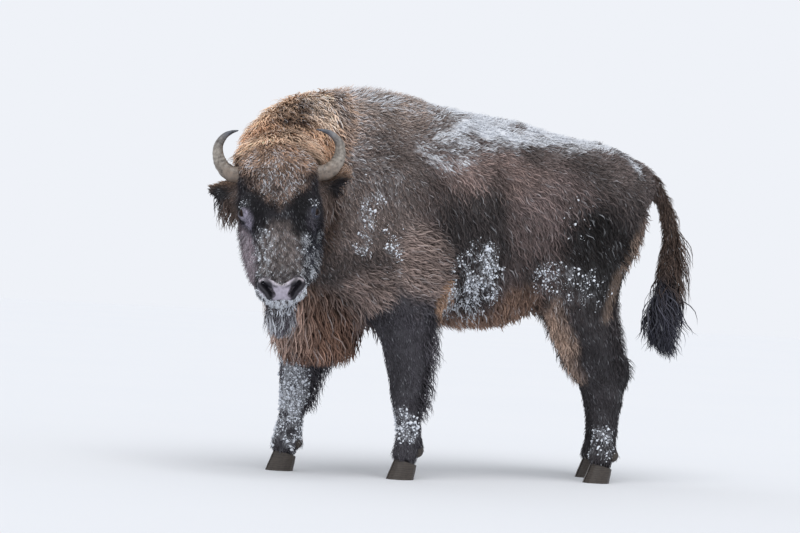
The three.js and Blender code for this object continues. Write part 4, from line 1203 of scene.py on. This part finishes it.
# %% Patches of skin and roots on them
UNWRAP_ANGLE = math.radians(60)
BARELY = 0.02  # hair grows on points above this
TRIES = 2.6  # random points for each root that might be kept


def patch_of(grows):
    """The skin where `grows` is above 0: corners of its triangles, their places on its unwrap, and areas."""
    patch = new_object("patch", skin.data.copy())
    bm = bmesh.new()
    bm.from_mesh(patch.data)
    origin = bm.verts.layers.int.new("origin")
    for v in bm.verts:
        v[origin] = v.index
    bmesh.ops.delete(bm, geom=[v for v in bm.verts if grows[v.index] < BARELY], context="VERTS")
    bm.to_mesh(patch.data)
    bm.free()
    with edit_mode(patch):
        bpy.ops.uv.smart_project(angle_limit=UNWRAP_ANGLE, island_margin=0.004)
    corners, loops, area = triangles(patch.data)
    origins = read(patch.data.attributes["origin"].data, "value", 1, np.int32)[:, 0]
    uv = read(patch.data.uv_layers.active.data, "uv", 2)
    bpy.data.meshes.remove(patch.data)
    return origins[corners], uv[loops], area


def at_roots(values, on, w):
    """Values of the skin's points, read at roots with these corners and weights."""
    return (values[on] * w.reshape(w.shape + (1,) * (values.ndim - 1))).sum(1)


def even_roots(grows, density, spacing):
    """Roots about `spacing` apart: many random points, of which each small cell of space keeps one."""
    corners, uv_corners, area = patch_of(grows)
    amount = area * density[corners].mean(1).clip(0, 1)
    chosen, w = scatter(amount, int(amount.sum() / spacing**2 * TRIES) + 1)
    cell = np.floor(at_roots(SKIN_PLACES, corners[chosen], w) / spacing).astype(int)
    _, keep = np.unique(cell, axis=0, return_index=True)
    chosen, w = chosen[keep], w[keep]
    return corners[chosen], w, (uv_corners[chosen] * w[:, :, None]).sum(1)


def built_object(name, verts, loops, starts, uv, look):
    """An object from points, the corners of its faces, where each face starts, and an unwrap."""
    mesh = bpy.data.meshes.new(name)
    mesh.vertices.add(len(verts))
    mesh.vertices.foreach_set("co", verts.astype(np.float32).ravel())
    mesh.loops.add(len(loops))
    mesh.loops.foreach_set("vertex_index", loops.astype(np.int32))
    mesh.polygons.add(len(starts))
    mesh.polygons.foreach_set("loop_start", starts.astype(np.int32))
    mesh.update(calc_edges=True)
    mesh.shade_smooth()
    mesh.uv_layers.new(name="OFBake").data.foreach_set("uv", uv[loops].astype(np.float32).ravel())
    mesh.materials.append(look)
    return new_object(name, mesh)

# %% [markdown]
# All locks of a kind have the same number of rings, so one pattern of faces serves for every lock, and the
# whole mesh is built at once.

# %% Make locks
SECTION = np.array([[-1.0, 0.0], [1.0, 0.0], [0.0, 0.62]])  # sideways and upwards
PATCH = 0.003  # a lock's width on the unwrap
ROOT_DEPTH = 0.0015
SNOWY_LENGTH = 0.045  # locks longer than this carry less snow
SHORTEST = 0.02  # of the locks that end at a level
coat_total = 0


def lock_mesh(name, centres, sides, ups, width, uv, colour, frost, frosty, snow):
    """One object from all locks: `centres` holds the middle of each lock's rings, and last its tip."""
    count, rings = len(centres), centres.shape[1] - 1
    along = np.arange(rings + 1) / rings
    taper = np.where(along < 0.35, 0.72 + 0.8 * along, 1.0 - ((along - 0.35) / 0.65) ** 1.6)[:rings]
    section = sides[:, :rings, None] * SECTION[None, None, :, :1]
    section = section + ups[:, :rings, None] * SECTION[None, None, :, 1:]
    section = width[:, None, None, None] * taper[None, :, None, None] * section
    body = (centres[:, :rings, None] + section).reshape(count, rings * 3, 3)
    verts = np.concatenate([body, centres[:, rings:]], axis=1)
    per, last = rings * 3 + 1, 3 * (rings - 1)
    quads = [(k + j, k + (j + 1) % 3, k + 3 + (j + 1) % 3, k + 3 + j)
             for k in range(0, last, 3) for j in range(3)]
    tips = [(last + j, last + (j + 1) % 3, per - 1) for j in range(3)]
    pattern = np.array([i for f in quads + tips + [(2, 1, 0)] for i in f])
    sizes = np.array([4] * len(quads) + [3] * 4)
    loops = (pattern[None] + per * np.arange(count)[:, None]).ravel()
    starts = np.concatenate([[0], np.cumsum(np.tile(sizes, count))[:-1]])
    step = np.concatenate([np.repeat(along[:rings], 3), [1.0]])
    shift = np.stack([np.concatenate([np.tile([0.0, 1.0, 0.5], rings), [0.5]]), step], 1) - 0.5
    coat = built_object(name, verts.reshape(-1, 3), loops, starts,
                        (uv[:, None] + PATCH * shift[None]).reshape(-1, 2), hair_material)
    paint(coat.data, "along", np.tile(step, count))
    paint(coat.data, "hair colour", np.repeat(colour, per, axis=0), "FLOAT_COLOR")
    thick = np.clip(frosty - 0.5, 0, 0.6)[:, None]
    frost = frost[:, None] * rise(0.10 - 0.5 * thick, 0.60 - 0.6 * thick, step[None])
    frost = frost + (1 - frost) * snow[:, None] * rise(0.40, 0.70, step)[None]
    paint(coat.data, "frost", frost.ravel())
    return coat


def grow(name, grows, length, width, lift, spacing, rings,
         wave=0.15, hang=0.0, clump=0.5, floor_at=None, tones=(0.66, 1.32)):
    """Grows one kind of hair where `grows` is above 0. Lengths in metres, `lift` in degrees off the skin."""
    global coat_total
    on, w, uv = even_roots(grows, grows, spacing)
    count = len(on)
    p, n = at_roots(SKIN_PLACES, on, w), unit(at_roots(SKIN_NORMALS, on, w))
    share = {part: at_roots(values, on, w) for part, values in SHARE.items()}
    full = at_roots(grows, on, w).clip(0, 1)
    colour, frosty, snow = markings(p, share)
    chance = rng.random((count, 6))
    tone = tones[0] + (tones[1] - tones[0]) * chance[:, 0]
    tone = tone * (1 + 0.22 * waves(p, 0.022, 31) + 0.14 * waves(p, 0.07, 32))
    frost = np.clip(1.6 * (1.5 * frosty - 1.15 * chance[:, 1] + 0.5 * frosty * waves(p, 0.03, 33)), 0, 1)
    snowy = snow * min(1.0, (SNOWY_LENGTH / length) ** 2) > chance[:, 2] * 0.9 + 0.05
    snow = snowy * (0.75 + 0.25 * chance[:, 3])

    flow = lie(p, n, share)
    flow = turned(flow, n, 0.30 * (chance[:, 4] - 0.5) + clump * 0.5 * waves(p, 0.018, 34))
    long = length * (0.70 + 0.45 * chance[:, 5]) * (0.45 + 0.55 * full) * (1 + 0.22 * waves(p, 0.05, 35))
    if floor_at is not None:
        ragged = 0.45 * length * np.abs(waves(p, 0.02, 36)) * rng.random(count)
        ragged = at_roots(floor_at + 0 * grows, on, w) + ragged
        long = np.minimum(long, np.maximum(p[:, 2] - ragged, SHORTEST))
    up = np.radians(lift) * (0.7 + 0.6 * rng.random(count))
    way = flow * np.cos(up)[:, None] + n * np.sin(up)[:, None]
    across = np.cross(n, flow)
    phase, turns = rng.uniform(0, 2 * math.pi, count), rng.uniform(0.8, 1.4, count)
    centres, sides, ups = [p - n * ROOT_DEPTH], [], []
    for k in range(rings + 1):
        t = k / rings
        sideways = np.cross(n, unit(way))
        sides.append(unit(sideways))
        ups.append(np.cross(unit(way), unit(sideways)))
        swing = phase + 2 * math.pi * turns * t
        bent = way + across * (wave * np.sin(swing))[:, None]
        bent = unit(bent + ups[-1] * (0.7 * wave * np.cos(swing))[:, None])
        centres.append(centres[-1] + bent * (long / rings)[:, None])
        way = unit(way + DOWN * hang / rings - n * (0.35 * np.sin(up) / rings)[:, None])
    widths = width * (0.7 + 0.6 * rng.random(count)) / 2
    coat = lock_mesh(name, np.stack(centres[:rings + 1], 1), np.stack(sides, 1), np.stack(ups, 1), widths, uv,
                     np.clip(colour * tone[:, None], 0, 1), frost, frosty, snow)
    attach(coat, "root")
    made = count * (6 * rings - 2)
    coat_total += made
    print(f"{name}: {count} locks, {made} triangles")

# %% [markdown]
# ## Where each kind of hair grows
# Masks say where each kind grows, from 0 to 1, and they overlap a little so that no border shows. Some come
# from the shares of the parts, and some are places on the head or the legs.

# %% Masks
x, y, z = SKIN_PLACES.T
h = to_head(SKIN_PLACES)
along, across, out = h[:, 0], np.abs(h[:, 1]), h[:, 2]
cap, _ = on_head(SKIN_PLACES)
trunk, neck, head = SHARE["trunk"], SHARE["neck"], SHARE["head"]
forelegs, hindlegs = SHARE["foreleg"], SHARE["hindleg"]
on_lip = np.clip(head + SHARE["beard"], 0, 1) * fall(0.012, 0.020, to_either(h, UPPER_LIP))
hairy = np.maximum(1 - BARE, on_lip)
fore = fall(-0.42, -0.12, x + 0.25 * (z - 1.1))
top = rise(1.18, 1.32, z) * fall(0.18, 0.29, np.abs(y - MIDLINE))
low = fall(0.70, 0.80, z) * rise(-0.15, -0.02, x) * fall(0.38, 0.50, x)
outer = rise(0.13, 0.20, np.abs(y - MIDLINE))
rolls = side_spot(SKIN_PLACES, -0.25, 0.89, 0.13, 0.14) + side_spot(SKIN_PLACES, -0.48, 0.77, 0.09, 0.10)
rolls = outer * np.clip(rolls, 0, 1)
crown = np.clip(neck * rise(1.12, 1.25, z) * fall(-0.74, -0.62, x), 0, 1)
poll = head * fall(-0.11, -0.06, along - 0.5 * np.maximum(across - 0.06, 0)) * rise(-0.12, -0.02, out)
curls = head * cap * rise(-0.13, -0.08, along)
at_eye, r = from_eyes(h), EYE_RADIUS
plain_face = head * hairy * (1 - np.clip(curls + poll, 0, 1)) * rise(r * 1.35, r * 1.7, at_eye)
round_eye = head * rise(r * 1.10, r * 1.20, at_eye) * fall(r * 1.7, r * 2.0, at_eye)
curls *= rise(r * 1.8, r * 2.4, at_eye)
jaw = head * fall(-0.05, -0.02, out) * rise(0.46, 0.52, along) + SHARE["beard"] * (z > 0.66)
behind = rise(0.15, 0.6, SKIN_NORMALS[:, 0])
coronet = (forelegs + hindlegs) * fall(0.085, 0.11, z)
over_dewclaw = (forelegs + hindlegs) * behind * rise(0.10, 0.13, z) * fall(0.16, 0.19, z)

# %% [markdown]
# Each call grows one kind. The numbers are the length and width of a lock, how far it stands off the skin
# in degrees, the space between roots, and the number of rings in a lock. The order matters, as they share
# one row of random numbers.

# %% Grow the coat
hump = rise(1.38, 1.52, z) * fall(-0.38, -0.12, x)
grow("body_fur", trunk * (1 - fore) * (1 - top) * (1 - low), 0.036, 0.0050, 20, 0.0107, 2, wave=0.35)
grow("body_locks", trunk * (1 - fore) * (1 - top), 0.070, 0.0066, 21, 0.0235, 4, wave=0.5, clump=0.9)
grow("back_fur", trunk * (1 - fore) * top, 0.038, 0.0050, 22, 0.0104, 3, wave=0.6)
upper_arm = forelegs * rise(0.60, 0.70, z)
shoulder = np.clip(trunk * fore * (1 - hump) + upper_arm, 0, 1)
grow("shoulder_fur", shoulder, 0.038, 0.0054, 30, 0.0104, 3, wave=0.75)
grow("hump_fur", trunk * hump, 0.050, 0.0046, 36, 0.0105, 4, wave=0.35)
grow("shoulder_rolls", (trunk + forelegs) * rolls, 0.074, 0.0065, 22, 0.0125, 5, wave=0.4)
grow("belly_locks", trunk * low, 0.075, 0.0070, 24, 0.0125, 4, wave=0.4, hang=0.6)
grow("neck_locks", neck * (1 - crown), 0.062, 0.0070, 26, 0.0102, 4, wave=0.4, hang=0.3)
grow("crown_locks", crown, 0.070, 0.0060, 27, 0.0098, 4, wave=0.7, hang=0.1,
     tones=(0.75, 1.30))
grow("poll_locks", poll, 0.095, 0.0050, 17, 0.0080, 5, wave=0.3, clump=0.8,
     tones=(0.85, 1.25))
grow("mane_locks", SHARE["mane"], 0.145, 0.0085, 28, 0.0115, 5, wave=0.4, hang=0.9,
     floor_at=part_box("chest_mane")[0].z - 0.030)
grow("beard_locks", SHARE["beard"], 0.085, 0.0055, 24, 0.0070, 4, wave=0.4, hang=0.6,
     floor_at=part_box("beard")[0].z - 0.010)
grow("face_fur", plain_face * (1 - on_lip), 0.018, 0.0028, 22, 0.0049, 2, wave=0.25,
     tones=(0.40, 1.65))
grow("lid_fur", round_eye, 0.008, 0.0020, 14, 0.0034, 2, wave=0.2)
cheeks = plain_face * rise(0.10, 0.13, across) * rise(0.20, 0.26, along) * fall(0.50, 0.55, along)
grow("cheek_fringe", cheeks * (1 - on_lip), 0.034, 0.0028, 50, 0.0072, 3, wave=0.4)
grow("lip_fur", np.clip(on_lip + jaw, 0, 1), 0.020, 0.0038, 34, 0.0052, 3, wave=0.4)
grow("forehead_curls", curls, 0.040, 0.0044, 34, 0.0066, 5, wave=0.8, tones=(0.50, 1.50))
grow("ear_fur", SHARE["ear"], 0.020, 0.0034, 28, 0.0060, 3, wave=0.4)
ear_top = SHARE["ear"] * (h[:, 1] > 0) * rise(0.19, 0.22, across) * fall(0.11, 0.13, along)
grow("ear_rim", ear_top, 0.052, 0.0034, 34, 0.0070, 4, wave=0.4)
ear_low = SHARE["ear"] * rise(0.15, 0.20, across) * rise(0.11, 0.14, along)
grow("ear_fringe", ear_low, 0.110, 0.0040, 16, 0.0085, 6, wave=0.5, hang=2.6)
grow("foreleg_fur", forelegs * fall(0.68, 0.74, z), 0.023, 0.0042, 20, 0.0094, 2, wave=0.25)
grow("hindleg_fur", hindlegs, 0.026, 0.0045, 20, 0.0102, 2, wave=0.25)
fringe = behind * forelegs * rise(0.24, 0.34, z) * fall(0.62, 0.75, z)
grow("knee_fringe", fringe, 0.100, 0.0054, 40, 0.0120, 5, wave=0.6, hang=0.6)
fringe = hindlegs * (behind * 0.9 + rise(0.3, 0.7, -SKIN_NORMALS[:, 0]))
fringe = fringe * rise(0.40, 0.5, z) * fall(0.75, 0.85, z)
grow("thigh_fringe", fringe, 0.062, 0.0050, 38, 0.0120, 4, wave=0.5, hang=0.5)
feet = np.clip(coronet + over_dewclaw, 0, 1)
grow("coronet_hair", feet, 0.036, 0.0040, 26, 0.0070, 3, wave=0.2, hang=0.5)
grow("tail_fur", SHARE["tail"], 0.046, 0.0050, 22, 0.0080, 3, wave=0.4)
strands = SHARE["tail"] * rise(-0.1, 0.4, SKIN_NORMALS[:, 0]) * fall(1.06, 1.22, z)
grow("tail_strands", strands, 0.190, 0.0056, 26, 0.0120, 6, wave=0.35, hang=1.2)
TUFT_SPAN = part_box("tail_tuft")[0].x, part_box("tail_tuft")[1].x
grow("tuft_locks", SHARE["tuft"], 0.230, 0.0064, 12, 0.0090, 7, wave=0.5, hang=1.0, clump=1.4,
     floor_at=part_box("tail_tuft")[0].z - 0.045 + 0.075 * fall(*TUFT_SPAN, x))
print("coat:", coat_total, "triangles")

# %% [markdown]
# ## Snow caught in the coat
# Where snow lies, small rounded grains sit among the tips of the hair. Each grain is a small pebble with
# its own size and turn, and all of them are one mesh.

# %% Snow grains
GRAIN = np.array([(1, 0, 0), (0, 1, 0), (-1, 0, 0), (0, -1, 0), (0, 0, 1), (0, 0, -1)], float)
GRAIN_FACES = np.array([(j, (j + 1) % 4, 4) for j in range(4)] + [((j + 1) % 4, j, 5) for j in range(4)])
GRAIN_SPACING = 0.0062
GRAIN_LEAST, GRAIN_MORE = 0.0014, 0.0062  # half width of the smallest, and how much the largest has more
SKIN_SNOW = markings(SKIN_PLACES, SHARE)[2]
on, w, uv = even_roots(SKIN_SNOW, np.clip(SKIN_SNOW * 1.2, 0, 1), GRAIN_SPACING)
count, corners = len(on), len(GRAIN)
p, n = at_roots(SKIN_PLACES, on, w), unit(at_roots(SKIN_NORMALS, on, w))
deep = sum(at_roots(SHARE[part], on, w) * d for part, d in COAT_DEPTH.items())
size = GRAIN_LEAST + GRAIN_MORE * rng.random(count) ** 4
size = np.where(at_roots(SHARE["head"], on, w) > 0.5, size * 0.45 + 0.0006, size)  # finer on the face
p = p + n * (deep * rng.uniform(0.35, 0.75, count))[:, None]
turns = np.linalg.qr(rng.normal(size=(count, 3, 3)))[0]
turns *= np.sign(np.linalg.det(turns))[:, None, None]
stretch = size[:, None] * rng.uniform(0.6, 1.3, (count, 3))
lumps = 1 + 0.35 * rng.uniform(-1, 1, (count, corners, 1))
verts = p[:, None] + np.einsum("nij,nkj->nki", turns, GRAIN[None] * stretch[:, None] * lumps)
loops = (GRAIN_FACES.ravel()[None] + corners * np.arange(count)[:, None]).ravel()
uv = (uv[:, None] + PATCH * 0.4 * GRAIN[None, :, :2]).reshape(-1, 2)
snow_material, _, _ = material("snow", Roughness=0.7, Specular_IOR_Level=0.3,
                               Base_Color=(*shade(236, 240, 248), 1))
starts = np.arange(0, len(loops), 3)
grains = built_object("snow_grains", verts.reshape(-1, 3), loops, starts, uv, snow_material)
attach(grains, "root")
print("snow grains:", count)

# %% [markdown]
# ## Floor, light and camera
# A pale floor and sky stand in for open snow light: soft from all round, a little stronger from above and
# in front.

# %% Floor and sky
FLOOR_SIZE = 60
SKY_LIGHT, SKY_SEEN, SKY_TINT = 0.74, 1.0, (0.94, 0.97, 1.0)
SUN_STRENGTH, SUN_WIDTH, SUN_WAY = 1.5, math.radians(50), (0.25, 0.55, -1.0)

floor = add_mesh(bpy.ops.mesh.primitive_grid_add, "floor", x_subdivisions=2, y_subdivisions=2,
                 size=FLOOR_SIZE)
floor_material, tree, shader = material("pale floor", Roughness=0.9, Specular_IOR_Level=0.1)
tree.links.new(mixed(tree, noise(tree, 0.6, 4.0), shade(226, 228, 233), shade(229, 230, 234)),
               shader.inputs["Base Color"])
floor.data.materials.append(floor_material)

sky = bpy.data.worlds.new("sky")
bpy.context.scene.world = sky
sky.use_nodes = True
tree = sky.node_tree
rays = node(tree, "ShaderNodeLightPath")
seen = sums(tree, "MAXIMUM", rays.outputs["Is Camera Ray"],
            sums(tree, "MAXIMUM", rays.outputs["Is Glossy Ray"], rays.outputs["Is Transmission Ray"]))
background = tree.nodes["Background"]
tree.links.new(mixed(tree, seen, SKY_TINT, shade(239, 242, 248)), background.inputs["Color"])
tree.links.new(spread(tree, seen, 0, 1, SKY_LIGHT, SKY_SEEN), background.inputs["Strength"])

light = bpy.data.lights.new("high soft light", "SUN")
light.energy, light.angle = SUN_STRENGTH, SUN_WIDTH
sun = new_object("high soft light", light)
sun.matrix_world = Vector(SUN_WAY).to_track_quat("-Z", "Y").to_matrix().to_4x4()

# %% [markdown]
# The camera stands 13 m away on the animal's left side, towards its head, and looks almost level. It is
# rolled a little.

# %% Camera
CAMERA_AZIMUTH = math.radians(-30)
CAMERA_HEIGHT, CAMERA_DISTANCE = 0.9, 13.0
AIM_HEIGHT, AIM_BEHIND_EYE = 0.8, 0.8507
CAMERA_ROLL = math.radians(3.5)  # the ground's left end stands a little higher
LENS, SENSOR = 140.4, 36.0
SHIFT_X, SHIFT_Y = -0.05, 0.0231

aim = Vector((eyes["left"][0] + AIM_BEHIND_EYE, MIDLINE, AIM_HEIGHT))
forward = Vector((-math.sin(CAMERA_AZIMUTH), math.cos(CAMERA_AZIMUTH), 0))
stand = aim - forward * CAMERA_DISTANCE
stand.z = CAMERA_HEIGHT
look = (aim - stand).normalized()
right = look.cross(Vector((0, 0, 1))).normalized()
up = right.cross(look)
rolled_right = right * math.cos(CAMERA_ROLL) + up * math.sin(CAMERA_ROLL)
rolled_up = up * math.cos(CAMERA_ROLL) - right * math.sin(CAMERA_ROLL)
camera_data = bpy.data.cameras.new("camera")
camera_data.lens, camera_data.sensor_width = LENS, SENSOR
camera_data.shift_x, camera_data.shift_y = SHIFT_X, SHIFT_Y
camera_data.clip_end = 200
camera = new_object("camera", camera_data)
turn = Matrix((rolled_right, rolled_up, -look)).transposed().to_4x4()
camera.matrix_world = Matrix.Translation(stand) @ turn
bpy.context.scene.camera = camera
bpy.context.scene.view_settings.view_transform = "Standard"

# %% [markdown]
# ## The end
# Nothing is left selected, and the scene is brought up to date.

# %% The end
bpy.ops.object.select_all(action="DESELECT")
bpy.context.view_layer.update()
